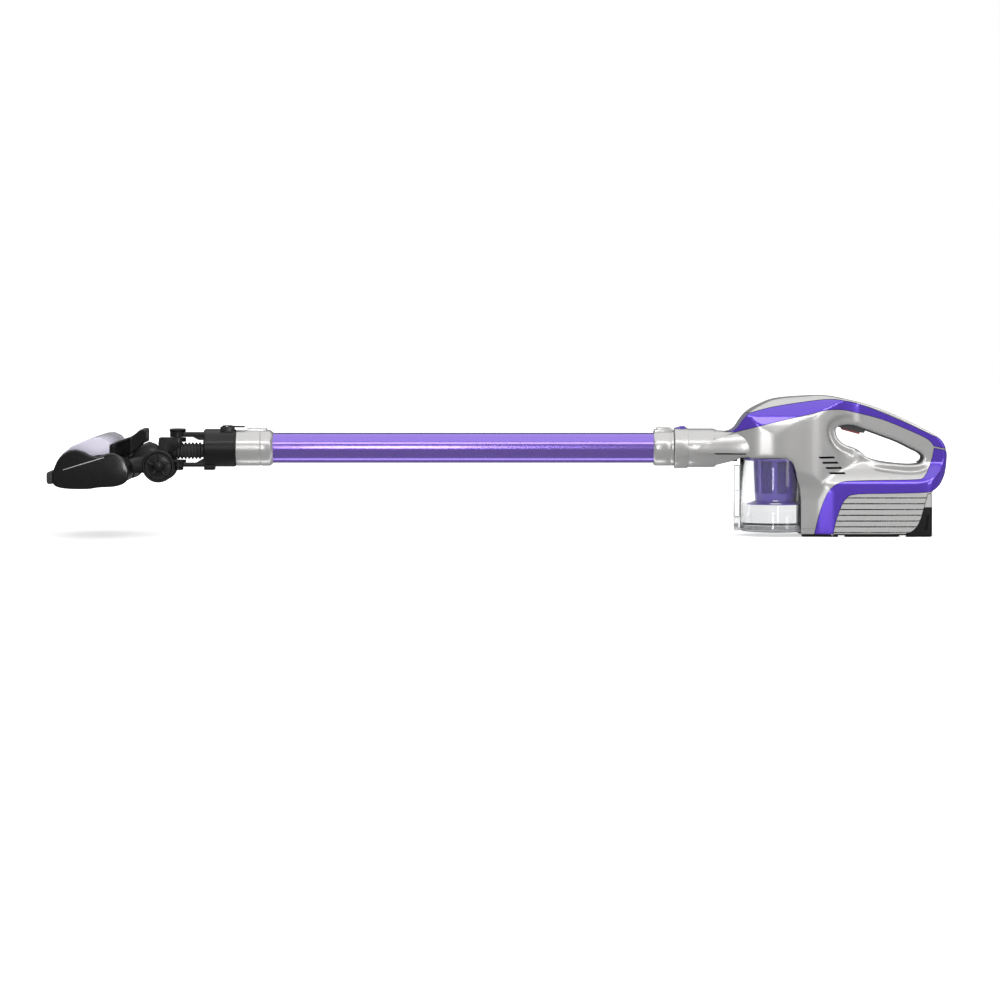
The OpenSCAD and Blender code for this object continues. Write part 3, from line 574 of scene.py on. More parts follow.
class VACUUM_OT_body(bpy.types.Operator):
    """Builds the hand unit's silver shells, bands, panels, base and bumper"""

    bl_idname = "vacuum.body"
    bl_label = "Hand unit body"

    def execute(self, context):
        sizes = SIZES()
        form = smooth_body()
        inner = inset_copy(form, sizes.skin, "inner_form")
        under = inset_copy(form, 0.9, "under_form")
        cup = frame_cylinder("cup_room", CUP_X, CUP_ROOM_R, -5, 109)
        skin = carve(copy_of(form, "skin_form"), inner, keep=True)

        seams = {
            "upper_band": upper_band_outline(), "spine_cover": spine_outline(),
            "lower_band": lower_band_outline(), "rib_panel": panel_outline(),
        }
        dress(tongue(), "hand_unit", "silver_paint")
        pieces = {}
        for name, outline in seams.items():
            piece = carve(copy_of(form, name), region("cut", outline, -sizes.seam), "INTERSECT")
            carve(piece, inner, keep=True)
            pieces[name] = piece

        tray_line = [(400, -3), (562, -3), (562, 4), (400, 4)]
        shell = skin
        for outline in seams.values():
            carve(shell, region("cut", outline, sizes.seam))
        carve(shell, region("cut", rear_outline(), 0.3))
        carve(shell, region("cut", tray_line, 0.0))
        carve(shell, cup, keep=True)
        foot_seam = block("foot_seam", (405, -60, 11.2), (436, 60, 11.8))
        carve(foot_seam, under, keep=True)
        carve(shell, foot_seam)
        cut_vents(shell)
        carve(shell, trigger_cut())
        right = copy_of(shell, "shell_right_skin")
        carve(shell, block("half", (200, -0.15, -10), (700, 120, 250)))
        carve(right, block("half", (200, -120, -10), (700, 0.15, 250)))
        for side, part in ((-1, shell), (1, right)):
            low, high = span(side, 24.4, 60)
            carve(part, block("cheek_groove", (292, low, GROOVE_Z[0]), (341, high, GROOVE_Z[1])))
        shell.name = "shell_left_skin"
        dress(shell, "hand_unit", "silver_paint", ["shell_left"])
        dress(right, "hand_unit", "silver_paint", ["shell_right"])

        for name in ("upper_band", "spine_cover"):
            slot = "purple_gloss" if "band" in name else "silver_paint"
            piece = pieces[name]
            piece.name = name + "_skin"
            dress(piece, "hand_unit", slot, [name])
        lower = carve(pieces["lower_band"], region("cut", tray_line))
        lower.name = "lower_band_skin"
        dress(lower, "hand_unit", "purple_gloss", ["lower_band"])

        panel = pieces["rib_panel"]
        for k in range(RIB_COUNT):
            z = RIB_FOOT + RIB_PITCH * k
            groove = block("rib_cut", (440, -60, z), (600, 60, z + RIB_GROOVE))
            carve(groove, under, keep=True)
            carve(panel, groove)
        other = copy_of(panel, "rib_panel_right_skin")
        carve(panel, block("half", (400, 0, -10), (700, 120, 250)))
        carve(other, block("half", (400, -120, -10), (700, 0, 250)))
        panel.name = "rib_panel_left_skin"
        dress(panel, "hand_unit", "grey_plastic", ["rib_panel_left"])
        dress(other, "hand_unit", "grey_plastic", ["rib_panel_right"])

        deep = apply_modifier(inset_copy(form, 3.6, "deep_form"), "DECIMATE", ratio=0.3)
        core = carve(under, deep)
        core.name = "body_liner"
        carve(core, cup, keep=True)
        carve(core, region("cut", tray_line))
        carve(core, region("cut", rear_outline(), 0.3))
        carve(core, block("pack_room", (477, -36, 3), (640, 36, 54)))
        cut_vents(core, 0.6)
        carve(core, trigger_cut())
        dress(core, "hand_unit", "black_plastic")

        tray = carve(copy_of(form, "base_tray_skin"), region("cut", tray_line), "INTERSECT")
        carve(tray, cup)
        dress(tray, "hand_unit", "black_plastic", ["base_tray"])
        feet = []
        for x in (472, 557):
            for side in (-1, 1):
                y = side * 41.4
                feet.append(block("foot", (x - 4.5, y - 1.5, 0.2), (x + 4.5, y + 1.5, 2.6), 0.5))
        dress(merged("base_feet", feet), "hand_unit", "white_plastic")

        bumper = carve(copy_of(form, "rear_bumper_skin"), region("cut", rear_outline(), -0.4), "INTERSECT")
        carve(bumper, block("pack_room", (500, -33, 3), (592, 33, 53)))
        hole = [(588, 0.01), (588, 5.6), (610, 5.6), (610, 0.01)]
        carve(bumper, lathe_x("socket_hole", hole, z=26, sides=48))
        upper = copy_of(bumper, "rear_bumper_top")
        below = [(540, -9), (640, -9), (640, 41.3), (586, 41.3), (584, 34), (540, 34)]
        above = [(540, 34), (584, 34), (586, 40.9), (640, 40.9), (640, 90), (540, 90)]
        carve(upper, slab("cut", below, "y", -60, 60))
        carve(bumper, slab("cut", above, "y", -60, 60))
        carve(bumper, slab("recess", [(587, 9), (592, 9), (594, 30), (590.5, 30)], "y", -60, -36.4))
        dress(upper, "battery", "grey_plastic")
        dress(bumper, "battery", "black_plastic", ["rear_bumper"])
        for spare in (form, inner):
            bpy.data.objects.remove(spare, do_unlink=True)
        return {"FINISHED"}


def frame_cylinder(name, x, radius, low, high, y=0.0, sides=128):
    """An upright cylinder in millimetres."""
    bpy.ops.object.select_all(action="DESELECT")
    bpy.ops.mesh.primitive_cylinder_add(
        vertices=sides, radius=radius * MM, depth=(high - low) * MM,
        location=(x * MM, y * MM, (low + high) / 2 * MM),
    )
    return named(name)


def cut_vents(obj, grow=0.0):
    """Four slanted vent slots through both sides."""
    for k in range(VENT_COUNT):
        z = 110 - VENT_DROP * k
        x = 441 + VENT_SHIFT * k
        outline = [(x - 1, z + 1.4), (x + 21, z + 1.4), (x + 23, z - 1.4), (x + 1, z - 1.4)]
        carve(obj, region("vent", outline, grow))


def trigger_cut():
    return block("trigger_room", (TRIGGER_SLOT[0], -6.5, 138), (TRIGGER_SLOT[1], 6.5, 172))


class VACUUM_OT_grip(bpy.types.Operator):
    """Builds the grip liner, the trigger and its housing"""

    bl_idname = "vacuum.grip"
    bl_label = "Grip and trigger"

    def execute(self, context):
        liner = slab("grip_liner", curve_through(OPENING, closed=True), "y", -10.5, 10.5)
        hollow = grown(curve_through(OPENING, closed=True), -2.4)
        carve(liner, slab("cut", hollow, "y", -12, 12))
        keep = [(508, 200), (508, 134), (575, 103), (700, 95), (700, 200)]
        carve(liner, slab("cut", keep, "y", -20, 20), "INTERSECT")
        rounded(liner, 0.7)
        dress(liner, "hand_unit", "dark_grip", ["grip_insert"])

        side = [
            (467.5, 154.5), (469, 151.6), (475, 149.8), (501, 143.4), (505.6, 142.9), (507, 144.6),
            (507.6, 151), (486, 156.5), (472, 157.4),
        ]
        housing = slab("trigger_cover", side, "y", -9, 9)
        carve(housing, block("slot", (TRIGGER_SLOT[0], -6.1, 130), (TRIGGER_SLOT[1], 6.1, 170)))
        rounded(housing, 0.8)
        dress(housing, "hand_unit", "dark_grip", ["trigger_housing"])

        face = [
            (474.6, 148.2), (476, 147.2), (499, 141), (500.2, 142), (500.2, 146.4), (494.2, 148.6),
            (494.2, 158), (479, 158), (479, 152.2), (474.6, 152.6),
        ]
        key = slab("trigger_key", face, "y", -5.6, 5.6)
        rounded(key, 0.7)
        dress(key, "trigger", "red_plastic", ["trigger"])
        return {"FINISHED"}


class VACUUM_OT_cup(bpy.types.Operator):
    """Builds the clear dust cup with its lid, the perforated basket and the pleated filter"""

    bl_idname = "vacuum.cup"
    bl_label = "Dust cup"

    def execute(self, context):
        wall = lathe_z("cup_wall_clear", [
            (49.6, 11.2), (50, 12), (50, 107.6), (49.6, 108.5), (48, 108.5), (47.8, 107.6),
            (47.8, 12), (47.8, 11.2),
        ], CUP_X)
        rib = block("cup_rib", (325.5, -3.2, 25), (334.6, 3.2, 98), 1.0)
        carve(rib, block("gap", (327.1, -5, 27), (333, 5, 62)))
        carve(rib, block("gap", (327.1, -5, 63.4), (333, 5, 96.4)))
        dress(rib, "cup", "clear_cup", look="lid")
        for y in (-9.6, 6.4):
            carve(wall, block("ear", (325.6, y, 11.2), (336.2, y + 3.2, 24.6), 0.8), "UNION")
        carve(wall, lathe_y("pin_hole", PIN_BORE, *LID_PIN, 32))
        dress(wall, "cup", "clear_cup", ["cup_wall"])

        lid = lathe_z("cup_lid_clear", [
            (0.01, 6.4), (44, 6.2), (46.6, 6.6), (49.2, 8.2), (49.9, 9.6), (49.9, 10.5), (47.4, 10.6),
            (47.3, 15.5), (45.2, 15.5), (44.6, 9.4), (30, 8.8), (0.01, 8.8),
        ], CUP_X)
        carve(lid, block("tab", (326.4, -5.2, 7.2), (338, 5.2, 10.2), 0.6), "UNION")
        carve(lid, block("knuckle", (326.3, -5.2, 7.4), (331.8, 5.2, 16.8), 1.2), "UNION")
        carve(lid, lathe_y("pin_hole", PIN_BORE, *LID_PIN, 32))
        dress(lid, "cup_lid", "clear_cup", ["cup_lid"], look="lid")

        ring = lathe_z("cup_ring", [
            (46.4, 16.2), (47.6, 16.2), (47.6, 18.6), (47.0, 19.4), (46.4, 19.2),
        ], CUP_X)
        dress(ring, "cup", "clear_cup", look="seal_rubber")

        dress(perforated_basket(), "cup", "purple_plastic", ["filter_basket"])
        # A plain black sheet just inside the basket wall: painted shade, so that the holes read dark like the
        # shaded inside of the basket.
        hole_shade = lathe_z("basket_screen", [(24.6, 52), (25, 52), (29.2, 102.8), (28.8, 102.8)], CUP_X)
        dress(hole_shade, "cup", "black_plastic")
        pleats = pleated_filter()
        dress(pleats, "cup", "filter_felt", ["pleated_filter"], angle=20)
        level_line()
        return {"FINISHED"}


def perforated_basket():
    """A tapered basket whose wall carries groups of square holes between plain stripes."""
    bottom, top = 47.5, 104.0
    columns, rows = 80, 20
    low_r, high_r = 28.5, 32.0
    bpy.ops.object.select_all(action="DESELECT")
    bpy.ops.mesh.primitive_cone_add(
        vertices=columns, radius1=low_r * MM, radius2=high_r * MM, depth=(top - bottom) * MM,
        end_fill_type="NOTHING", location=(CUP_X * MM, 0, (bottom + top) / 2 * MM),
    )
    basket = named("filter_basket_wall")
    bpy.ops.object.mode_set(mode="EDIT")
    step = (top - bottom) / rows
    for r in range(1, rows):
        bpy.ops.mesh.select_all(action="SELECT")
        bpy.ops.mesh.bisect(plane_co=(0, 0, (bottom + step * r) * MM), plane_no=(0, 0, 1))
    bpy.ops.mesh.select_all(action="DESELECT")
    bpy.ops.object.mode_set(mode="OBJECT")
    for face in basket.data.polygons:
        c = face.center
        turn = (math.degrees(math.atan2(c.y, c.x - CUP_X * MM)) + 360) % 360
        row = int((c.z / MM - bottom) / step)
        column = int(turn / 360 * columns)
        face.select = row > 3 and row % 2 == 0 and column % 2 == 0 and column % 10 not in (8, 9)
    bpy.ops.object.mode_set(mode="EDIT")
    bpy.ops.mesh.select_mode(type="FACE")
    bpy.ops.mesh.inset(thickness=0.00032, use_individual=True)
    bpy.ops.mesh.delete(type="FACE")
    bpy.ops.object.mode_set(mode="OBJECT")
    apply_modifier(basket, "SOLIDIFY", thickness=0.0012, offset=-1.0)
    floor = lathe_z("basket_floor", [
        (0.01, 45.2), (26, 45.2), (36, 44.6), (39.6, 44.2), (39.8, 45.2), (37, 46.2), (29.6, 48.6),
        (28.2, 48.6), (26, 47.4), (0.01, 47.4),
    ], CUP_X)
    rim = lathe_z("basket_rim", [
        (30.6, 103.6), (32.6, 103.6), (46.4, 104.6), (46.6, 105.2), (46.6, 108), (30.6, 108),
    ], CUP_X)
    return merged("filter_basket_wall", [basket, floor, rim])


def pleated_filter():
    """The fine filter inside the basket: a ring of sharp pleats."""
    pleats = 44
    outline = []
    for k in range(pleats * 2):
        radius = 21.5 if k % 2 else 17.5
        turn = math.pi * k / pleats
        outline.append((CUP_X + radius * math.cos(turn), radius * math.sin(turn)))
    body = slab("pleated_filter_paper", outline, "z", 50, 103)
    carve(body, frame_cylinder("bore", CUP_X, 13, 40, 120, sides=64))
    return body


def level_line():
    """The fill mark on the cup: two plain bars, with no words."""
    marks = []
    for z, half in ((46.5, 7.0), (50.5, 3.5)):
        bpy.ops.object.select_all(action="DESELECT")
        bpy.ops.mesh.primitive_grid_add(x_subdivisions=12, y_subdivisions=1, size=1)
        bar = bpy.context.object
        for vert in bar.data.vertices:
            turn = math.radians(-90 - 4 + vert.co.x * 2 * half * 1.2)
            x, y = CUP_X + MARK_R * math.cos(turn), MARK_R * math.sin(turn)
            vert.co = (x * MM, y * MM, (z + vert.co.y * 0.9) * MM)
        marks.append(apply_modifier(bar, "SOLIDIFY", thickness=0.00012, offset=1.0))
    mark = tidy_normals(merged("fill_mark", marks))
    dress(mark, "cup", "white_plastic")


class VACUUM_OT_wand(bpy.types.Operator):
    """Builds the wand tube, its two collars, the release button and the neck"""

    bl_idname = "vacuum.wand"
    bl_label = "Wand"

    def execute(self, context):
        tube = lathe_x("wand_tube_skin", [
            (-338, 19.8), (-338, 21), (232, 21), (232, 19.8),
        ], sides=128)
        dress(tube, "wand", "purple_metal", ["wand_tube"])

        rear = lathe_x("rear_collar_skin", [
            (213.4, 21.05), (213.4, 23.2), (214.4, 24.2), (217, 25), (236, 25), (236.8, 24.5), (237.6, 25),
            (241.2, 25), (241.4, 24.6), (241.4, 21.05),
        ], sides=128)
        carve(rear, block("button_bed", (214, -11, 139), (241, 11, 148), 1.4), "UNION")
        carve(rear, block("button_well", (216.8, -8, 141), (239, 8, 152)))
        carve(rear, lathe_x("bore", [(205, 0.01), (205, 21.02), (245, 21.02), (245, 0.01)], sides=128))
        for side in (-1, 1):
            low, high = span(side, 21.5, 30)
            carve(rear, block("seam", (213.6, low, SEAM_Z[0]), (241.3, high, SEAM_Z[1])))
        dress(rear, "wand", "silver_paint", ["rear_collar"])

        button = block("release_button_cap", (217.6, -7.2, 144.7), (238.2, 7.2, 150.9), 1.6, 4)
        for k in range(4):
            carve(button, block("ridge", (220.5 + k * 3.2, -5.6, 150.4), (221.7 + k * 3.2, 5.6, 152)))
        for side in (-1, 1):
            low, high = span(side, 6.6, 9)
            carve(button, block("dimple", (227.6, low, 146.4), (230.2, high, 148.4)))
        dress(button, "release_button", "silver_paint", ["release_button"])

        front = lathe_x("front_collar_skin", [
            (-401, 16.2), (-401, 18.8), (-400.2, 19), (-367.2, 19), (-367, 24.2), (-366, 25), (-334, 25),
            (-333.2, 24.3), (-332.4, 24.3), (-331.8, 25.1), (-320, 25.1), (-318.4, 24), (-316.4, 22.4),
            (-315.4, 21.05), (-338, 21.05), (-338, 16.2),
        ], sides=128)
        clip = block("clip", (-363, -7.5, 141), (-324, 7.5, 149.6), 1.5)
        carve(front, clip, "UNION")
        carve(front, block("catch", (-370, -8.2, 146.4), (-352, 8.2, 156)))
        carve(front, lathe_x("bore", [(-410, 0.01), (-410, 16.1), (-339, 16.1), (-339, 0.01)], sides=96))
        carve(front, block("relief", (-352, -4.2, 148.4), (-328, 4.2, 152)))
        dress(front, "wand", "silver_paint", ["front_collar"])

        neck = lathe_x("neck_collar_skin", [
            (242.2, 19.2), (242.2, 27.6), (243, 28.4), (260, 28.4), (261, 27.9), (261.3, 26.8),
            (262.3, 26.8), (262.8, 27), (296, 27), (300, 26), (300, 19.2),
        ], sides=128)
        for side in (-1, 1):
            low, high = span(side, 25.0, 30)
            carve(neck, block("seam", (242.4, low, SEAM_Z[0]), (261.2, high, SEAM_Z[1])))
            low, high = span(side, 24.2, 30)
            carve(neck, block("cheek_groove", (274, low, GROOVE_Z[0]), (301, high, GROOVE_Z[1])))
        dress(neck, "hand_unit", "silver_paint", ["neck_collar"])
        ramp = [(243.4, 148), (258, 148), (258, 151.9), (252, 152.2), (243.4, 149.6)]
        wedge = slab("neck_catch", ramp, "y", -9, 9)
        rounded(wedge, 0.6, 2)
        dress(wedge, "hand_unit", "purple_plastic")
        return {"FINISHED"}


# ---- floor head ----
CAP = [
    (-610, 84), (-609, 97), (-602, 112), (-592, 121), (-581, 124.3), (-569, 122), (-557, 116),
    (-547, 114.5), (-537, 118.5), (-527, 119.3), (-515, 113), (-507.7, 101), (-506.4, 87), (-513, 78),
    (-526, 73.6), (-548, 72.2), (-562, 70.2), (-584, 70.2), (-600, 71.8), (-609, 76),
]
HEAD_HALF = 120.0
SWIVEL_X = -448.5
WHEEL_X = -473.0
WHEEL_Z = 97.7


class VACUUM_OT_swivel(bpy.types.Operator):
    """Builds the socket with its fork and latch, the swivel, the hose and the wheels"""

    bl_idname = "vacuum.swivel"
    bl_label = "Socket, swivel and wheels"

    def execute(self, context):
        socket = lathe_x("socket_skin", [
            (-411.6, 12.8), (-411.6, 24.6), (-409.5, 26.3), (-369.2, 26.3), (-368.8, 25.6), (-367.5, 25.6),
            (-367.5, 19.3), (-406, 19.3), (-406, 12.8),
        ], sides=128)
        for low, high in ((137.2, 143.9), (95.6, 101.4)):
            arm = block("arm", (SWIVEL_X, -6.8, low), (-402, 6.8, high), 1.4)
            carve(arm, frame_cylinder("eye", SWIVEL_X, 10.8, low, high), "UNION")
            carve(socket, arm, "UNION")
        brace = slab("brace", [(-427, 137.2), (-411.6, 129), (-411.6, 140), (-427, 140)], "y", -6.6, 6.6)
        carve(socket, brace, "UNION")
        foot = slab("brace", [(-424, 101.2), (-411.6, 108), (-411.6, 98), (-424, 98)], "y", -6.6, 6.6)
        carve(socket, foot, "UNION")
        carve(socket, block("lug", (-411.5, -11.6, 91.4), (-396.5, 11.6, 100), 1.2), "UNION")
        for side in (-1, 1):
            cheek = block("cheek", (-388.5, side * 11.3 - 1.7, 142), (-370, side * 11.3 + 1.7, 151.6), 0.8)
            carve(socket, cheek, "UNION")
        carve(socket, lathe_x("bore", [(-406, 0.01), (-406, 19.35), (-360, 19.35), (-360, 0.01)], sides=96))
        carve(socket, lathe_x("duct", [(-440, 0.01), (-440, 12.8), (-400, 12.8), (-400, 0.01)], sides=96))
        carve(socket, frame_cylinder("pin_room", SWIVEL_X, 3.6, 80, 160, sides=48))
        carve(socket, block("latch_room", (-388, -9.45, 147.2), (-379, 9.45, 149.2)))
        dress(socket, "head_socket", "black_plastic", ["socket_yoke"])

        side_view = [
            (-387, 149.2), (-387, 151.6), (-385.6, 153.2), (-375, 153.4), (-371, 152.6), (-356, 152.4),
            (-354.8, 151.6), (-355.4, 150.5), (-373, 150.6), (-374.6, 149.2),
        ]
        lever = slab("latch_lever", side_view, "y", -8.8, 8.8)
        for side in (-1, 1):
            carve(lever, block("trim", (-373, side * 9.5 - 3, 148), (-350, side * 9.5 + 3, 156)))
        rounded(lever, 0.5, 2)
        dress(lever, "head_latch", "black_plastic", ["head_latch"])

        pin = lathe_z("swivel_cap", [
            (0.01, 144.3), (11, 144.3), (11.4, 145), (11.4, 147.6), (10.4, 148.7), (7.4, 149), (6.6, 148.2),
            (3.4, 148.2), (3, 148.9), (0.01, 148.9),
        ], SWIVEL_X)
        stem = frame_cylinder("stem", SWIVEL_X, 3.45, 134, 144.6, sides=48)
        low_stem = frame_cylinder("stem", SWIVEL_X, 3.45, 92, 105, sides=48)
        low_cap = lathe_z(
            "low_cap", [(0.01, 91), (6.4, 91), (7.8, 92.2), (7.8, 95.2), (0.01, 95.2)], SWIVEL_X,
        )
        carve(pin, stem, "UNION")
        carve(low_cap, low_stem, "UNION")
        caps = merged("swivel_cap", [pin, low_cap])
        dress(caps, "head_socket", "black_plastic", ["swivel_pins"], look="gloss_black")

        block_side = [
            (-474, 86.4), (-461.5, 86.4), (-460.8, 87.4), (-460.8, 101.9), (-447, 101.9), (-447, 105.4),
            (-460.8, 105.4), (-460.8, 130.6), (-447, 130.6), (-447, 136.4), (-462, 136.4), (-468, 133),
            (-474.6, 131),
        ]
        knuckle = slab("pivot_knuckle", block_side, "y", -13.4, 13.4)
        rounded(knuckle, 1.2)
        for low, high in ((130.6, 136.4), (102.0, 105.4)):
            carve(knuckle, frame_cylinder("eye", SWIVEL_X, 11.8, low, high), "UNION")
        hub = lathe_y("hub", [
            (-13.9, 0.01), (-13.9, 10.8), (-12.7, 12), (12.7, 12), (13.9, 10.8), (13.9, 0.01),
        ], WHEEL_X, WHEEL_Z)
        carve(knuckle, hub, "UNION")
        carve(knuckle, frame_cylinder("pin_room", SWIVEL_X, 3.5, 80, 160, sides=48))
        carve(knuckle, lathe_x("duct", [(-500, 0.01), (-500, 9.6), (-450, 9.6), (-450, 0.01)], z=118))
        for side in (-1, 1):
            low, high = span(side, 11.9, 13.4)
            cheek = [(-474, 118), (-452, 118), (-446, 123), (-443.5, 123), (-443.5, 136.4), (-474, 136.4)]
            plate = slab("cheek", cheek, "y", low, high)
            carve(knuckle, rounded(plate, 0.5, 2), "UNION")
        dress(knuckle, "swivel", "black_plastic", ["pivot_block"])

        hose = lathe_x("swivel_hose_folds", hose_profile(), z=118, sides=96)
        dress(hose, "swivel", "hose_rubber", ["swivel_hose"], angle=60)

        for side, word in ((-1, "left"), (1, "right")):
            wheel = wheel_piece("wheel_" + word + "_disc", side)
            dress(wheel, "wheel_" + word, "wheel_plastic", ["wheel_" + word])
        return {"FINISHED"}


def hose_profile():
    """A corrugated wall: round ridges, narrow valleys and a plain bore."""
    line = [(-457, 9.2)]
    for k in range(8):
        x = -454.6 + 5 * k
        line += [(x, 9.4), (x + 0.7, 10.9), (x + 1.5, 11.6), (x + 2.5, 11.6), (x + 3.3, 10.9), (x + 4.0, 9.4)]
    line += [(-412.6, 9.2), (-412.6, 8.3), (-457, 8.3)]
    return line


def wheel_piece(name, side):
    """A side wheel: a rim with a groove, a dished disc and five low spokes."""
    profile = [
        (27.2, 3.2), (27.2, 20.6), (28, 22.2), (30.4, 22.6), (31.2, 22.1), (34.2, 22.1), (35, 22.6),
        (37, 22.4), (37.9, 21.2), (37.9, 19.6), (36.4, 18.8), (34.6, 18.2), (34.2, 9), (35.2, 7.4),
        (36.8, 6.4), (37.6, 4), (37.9, 0.01), (36.3, 0.01), (36.3, 3.2),
    ]
    wheel = lathe_y(name, [(side * y, r) for y, r in profile], WHEEL_X, WHEEL_Z, 120)
    spokes = []
    for k in range(5):
        low, high = span(side, 33.8, 35.9)
        spoke = block(
            "spoke", (WHEEL_X - 1.3, low, WHEEL_Z + 7), (WHEEL_X + 1.3, high, WHEEL_Z + 18.6), 0.5, 2,
        )
        bpy.ops.transform.rotate(
            value=math.radians(72 * k), orient_axis="Y",
            center_override=(WHEEL_X * MM, 0, WHEEL_Z * MM),
        )
        bpy.ops.object.transform_apply(location=True, rotation=True, scale=True)
        spokes.append(spoke)
    for spoke in spokes:
        carve(wheel, spoke, "UNION")
    return wheel


class VACUUM_OT_head(bpy.types.Operator):
    """Builds the floor head's end caps, chassis, cover, window, bumper and brush"""

    bl_idname = "vacuum.head"
    bl_label = "Floor head"

    def execute(self, context):
        line = curve_through(CAP, 5, closed=True)
        for side, word in ((-1, "left"), (1, "right")):
            low, high = span(side, HEAD_HALF - 9, HEAD_HALF)
            cap = slab("end_cap_" + word + "_skin", line, "y", low, high)
            rounded(cap, 2.6, 5, angle=50)
            face = side * HEAD_HALF
            low, high = sorted((face - side * 1.2, face + side * 1.0))
            seam = [(-596, 96.2), (-568, 104.6), (-540, 113), (-540, 114.1), (-568, 105.7), (-596, 97)]
            carve(cap, slab("crease", seam, "y", low, high))
            # A light-grey strip laid flush in the crease on each cap face: a painted highlight for the bright
            # line that the cap's edge catches.
            low, high = sorted((face - side * 1.1, face - side * 0.1))
            painted_highlight_strip = slab("cap_seam_" + word, seam, "y", low, high)
            dress(painted_highlight_strip, "head", "gloss_black", look="grey_plastic")
            dress(cap, "head", "gloss_black", ["end_cap_" + word])

        body = cad_copy("head_chassis", "head_chassis_skin")
        rounded(body, 0.6, 2)
        dress(body, "head", "black_plastic", ["head_chassis"])

        cover = cad_copy("top_cover", "top_cover_skin")
        apply_modifier(cover, "REMESH", mode="VOXEL", voxel_size=0.0012)
        apply_modifier(cover, "SMOOTH", factor=0.5, iterations=8)
        dress(cover, "head", "gloss_black", ["top_cover"])

        dome = [
            (-604, 104), (-598, 118), (-586, 128), (-570, 135), (-555, 139.8), (-546, 140.4), (-536, 136),
            (-532, 131), (-534, 129.6), (-538, 133.4), (-546, 137.6), (-555, 137.2), (-570, 132.6),
            (-584, 125.7), (-595.4, 116.4), (-601, 104.6),
        ]
        window = slab("brush_window_dome", dome, "y", -108, 108)
        rounded(window, 0.8, 2, angle=50)
        end_wall = [
            (-600, 112), (-597, 118), (-586, 126.6), (-570, 133.6), (-555, 138), (-546, 138.6), (-538, 134),
            (-533.6, 129), (-534, 118), (-560, 115), (-570, 118), (-583, 120), (-592, 118.5),
        ]
        for side in (-1, 1):
            low, high = span(side, 106.4, 107.9)
            carve(window, slab("end_wall", end_wall, "y", low, high), "UNION")
        dress(window, "head", "window_clear", ["brush_window"])

        lip = [
            (-617, 77), (-618.6, 79), (-619, 82), (-619, 90), (-618, 93), (-615.5, 94.4),
            (-610.7, 93.8), (-610.7, 77),
        ]
        bumper = slab("front_bumper_skin", lip, "y", -118, 118)
        rounded(bumper, 1.2, 3)
        dress(bumper, "head", "seal_rubber", ["front_bumper"])
        dress(brush_piece(), "brush", "brush_nylon", ["brush_roller"], angle=30)
        return {"FINISHED"}


def brush_piece():
    """The roller: a core with spiral rows of bristle tufts."""
    core = lathe_y("brush_roller_bristles", [
        (-106, 3.2), (-106, 11.6), (-98.2, 11.6), (-98, 13.6), (107.6, 13.6), (107.8, 3.2),
    ], -583, 95, 64)
    tufts = []
    for row in range(4):
        for k in range(34):
            y = -94 + k * 5.9
            turn = math.tau * (row / 4 + k / 60)
            bpy.ops.object.select_all(action="DESELECT")
            bpy.ops.mesh.primitive_cone_add(
                vertices=7, radius1=0.0024, radius2=0.0013, depth=0.0075,
                location=(-0.583 + 0.0168 * math.sin(turn), y * MM, 0.095 + 0.0168 * math.cos(turn)),
                rotation=(0, turn, 0),
            )
            tufts.append(named("tuft"))
    return merged("brush_roller_bristles", [core] + tufts)


class VACUUM_OT_inside(bpy.types.Operator):
    """Gives every frame node that stays its finish"""

    bl_idname = "vacuum.inside"
    bl_label = "Inner parts"

    def execute(self, context):
        for part in frame["record"]["subparts"]:
            obj = frame["nodes"][part["node"]]
            if obj.hide_render:
                continue
            obj.data.materials.clear()
            obj.data.materials.append(finish(part["material_slot"]))
        return {"FINISHED"}


class VACUUM_OT_stage(bpy.types.Operator):
    """Sets the pale floor, the studio lights and the camera"""

    bl_idname = "vacuum.stage"
    bl_label = "Stage"

    def execute(self, context):
        studio_floor()
        studio_world()
        softbox("front_high", (0.0, -2.05, 1.75), (0, 0, 0.12), 4.6, 0.42, 30)
        softbox("front_left", (-0.24, -2.9, 0.45), (0.45, 0, 0.08), 0.34, 0.9, 10)
        softbox("front_right", (1.9, -2.2, 0.9), (0.45, 0, 0.1), 0.5, 1.6, 10)
        softbox("overhead", (0.0, 0.1, 3.0), (0, 0.1, 0), 7.0, 5.0, 115)
        softbox("under_wand", (-0.06, -0.004, 0.004), (-0.06, -0.004, 1.0), 0.62, 0.03, 0.12)

        scene = bpy.context.scene
        eye = bpy.data.cameras.new("studio_camera")
        camera = bpy.data.objects.new("studio_camera", eye)
        scene.collection.objects.link(camera)
        eye.sensor_width = SENSOR
        eye.lens = LENS
        eye.clip_end = 50
        target = Vector((0, 0, AIM_Z))
        tilt = math.radians(EYE_TILT)
        away = VIEW_HALF / (SENSOR / 2 / LENS)
        camera.location = target + Vector((0, -away * math.cos(tilt), away * math.sin(tilt)))
        camera.rotation_euler = (target - camera.location).to_track_quat("-Z", "Y").to_euler()
        scene.camera = camera
        scene.view_settings.view_transform = "Standard"
        return {"FINISHED"}


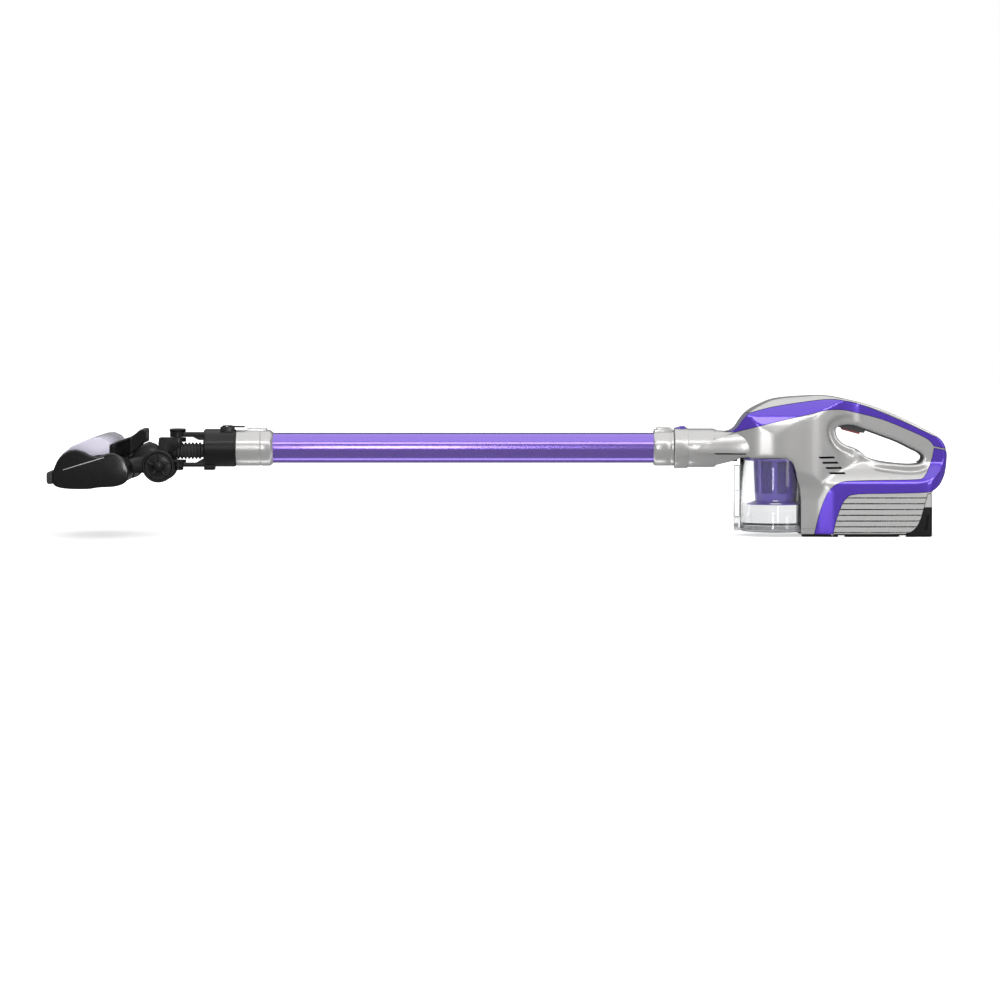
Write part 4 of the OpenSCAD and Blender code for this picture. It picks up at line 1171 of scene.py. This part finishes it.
def studio_floor():
    """A matt white floor that glows a little, so it stays white around the shadows."""
    bpy.ops.object.select_all(action="DESELECT")
    bpy.ops.mesh.primitive_plane_add(size=16, location=(0, 0, 0))
    floor = named("studio_floor")
    white = (0.85, 0.85, 0.85)
    mat, tree, shader = node_material("studio floor", white, roughness=0.9)
    grain(tree, shader, white, 3, rough=(0.85, 0.95), tint=0.003, bump=0.0)
    nodes, links = tree.nodes, tree.links
    coords = nodes.new("ShaderNodeTexCoord")
    away = nodes.new("ShaderNodeVectorMath")
    away.operation = "LENGTH"
    glow = nodes.new("ShaderNodeMapRange")
    glow.inputs["From Min"].default_value = 0.7
    glow.inputs["From Max"].default_value = 1.8
    glow.inputs["To Min"].default_value = FLOOR_GLOW
    glow.inputs["To Max"].default_value = 1.0
    links.new(coords.outputs["Object"], away.inputs[0])
    links.new(away.outputs["Value"], glow.inputs["Value"])
    links.new(glow.outputs["Result"], shader.inputs["Emission Strength"])
    shader.inputs["Emission Color"].default_value = (1, 1, 1, 1)
    floor.data.materials.append(mat)
    floor.visible_glossy = False


def studio_world():
    """White behind the machine, and a dim room for everything it reflects."""
    world = bpy.data.worlds.new("studio")
    bpy.context.scene.world = world
    world.use_nodes = True
    nodes, links = world.node_tree.nodes, world.node_tree.links
    room = nodes["Background"]
    room.inputs["Color"].default_value = (1, 1, 1, 1)
    room.inputs["Strength"].default_value = ROOM_LIGHT
    white = nodes.new("ShaderNodeBackground")
    white.inputs["Color"].default_value = (1, 1, 1, 1)
    white.inputs["Strength"].default_value = 1.0
    path = nodes.new("ShaderNodeLightPath")
    seen = nodes.new("ShaderNodeMath")
    seen.operation = "MAXIMUM"
    links.new(path.outputs["Is Camera Ray"], seen.inputs[0])
    links.new(path.outputs["Is Transmission Ray"], seen.inputs[1])
    mix = nodes.new("ShaderNodeMixShader")
    links.new(seen.outputs["Value"], mix.inputs["Fac"])
    links.new(room.outputs["Background"], mix.inputs[1])
    links.new(white.outputs["Background"], mix.inputs[2])
    links.new(mix.outputs["Shader"], nodes["World Output"].inputs["Surface"])


def softbox(name, place, aim, width, height, power):
    """A rectangular area light that faces a point."""
    light = bpy.data.lights.new(name, "AREA")
    light.shape = "RECTANGLE"
    light.size = width
    light.size_y = height
    light.energy = power
    obj = bpy.data.objects.new(name, light)
    bpy.context.scene.collection.objects.link(obj)
    obj.location = place
    obj.rotation_euler = (Vector(aim) - Vector(place)).to_track_quat("-Z", "Y").to_euler()


class VACUUM_PT_panel(bpy.types.Panel):
    """Lists the makers"""

    bl_idname = "VACUUM_PT_panel"
    bl_label = "Stick vacuum"
    bl_space_type = "VIEW_3D"
    bl_region_type = "UI"
    bl_category = "Vacuum"

    def draw(self, context):
        sizes = context.scene.vacuum_sizes
        for name in ("voxel", "rounding", "skin", "seam", "band_colour", "tube_colour"):
            self.layout.prop(sizes, name)
        for operator in OPERATORS:
            self.layout.operator(operator.bl_idname)


OPERATORS = (
    VACUUM_OT_body, VACUUM_OT_grip, VACUUM_OT_cup, VACUUM_OT_wand, VACUUM_OT_swivel, VACUUM_OT_head,
    VACUUM_OT_inside, VACUUM_OT_stage,
)


def register():
    for cls in (VacuumSizes, *OPERATORS, VACUUM_PT_panel):
        bpy.utils.register_class(cls)
    bpy.types.Scene.vacuum_sizes = PointerProperty(type=VacuumSizes)


def unregister():
    del bpy.types.Scene.vacuum_sizes
    for cls in reversed((VacuumSizes, *OPERATORS, VACUUM_PT_panel)):
        bpy.utils.unregister_class(cls)


def main():
    register()
    for operator in OPERATORS:
        getattr(bpy.ops.vacuum, operator.bl_idname.split(".")[1])()


if __name__ == "__main__":
    main()
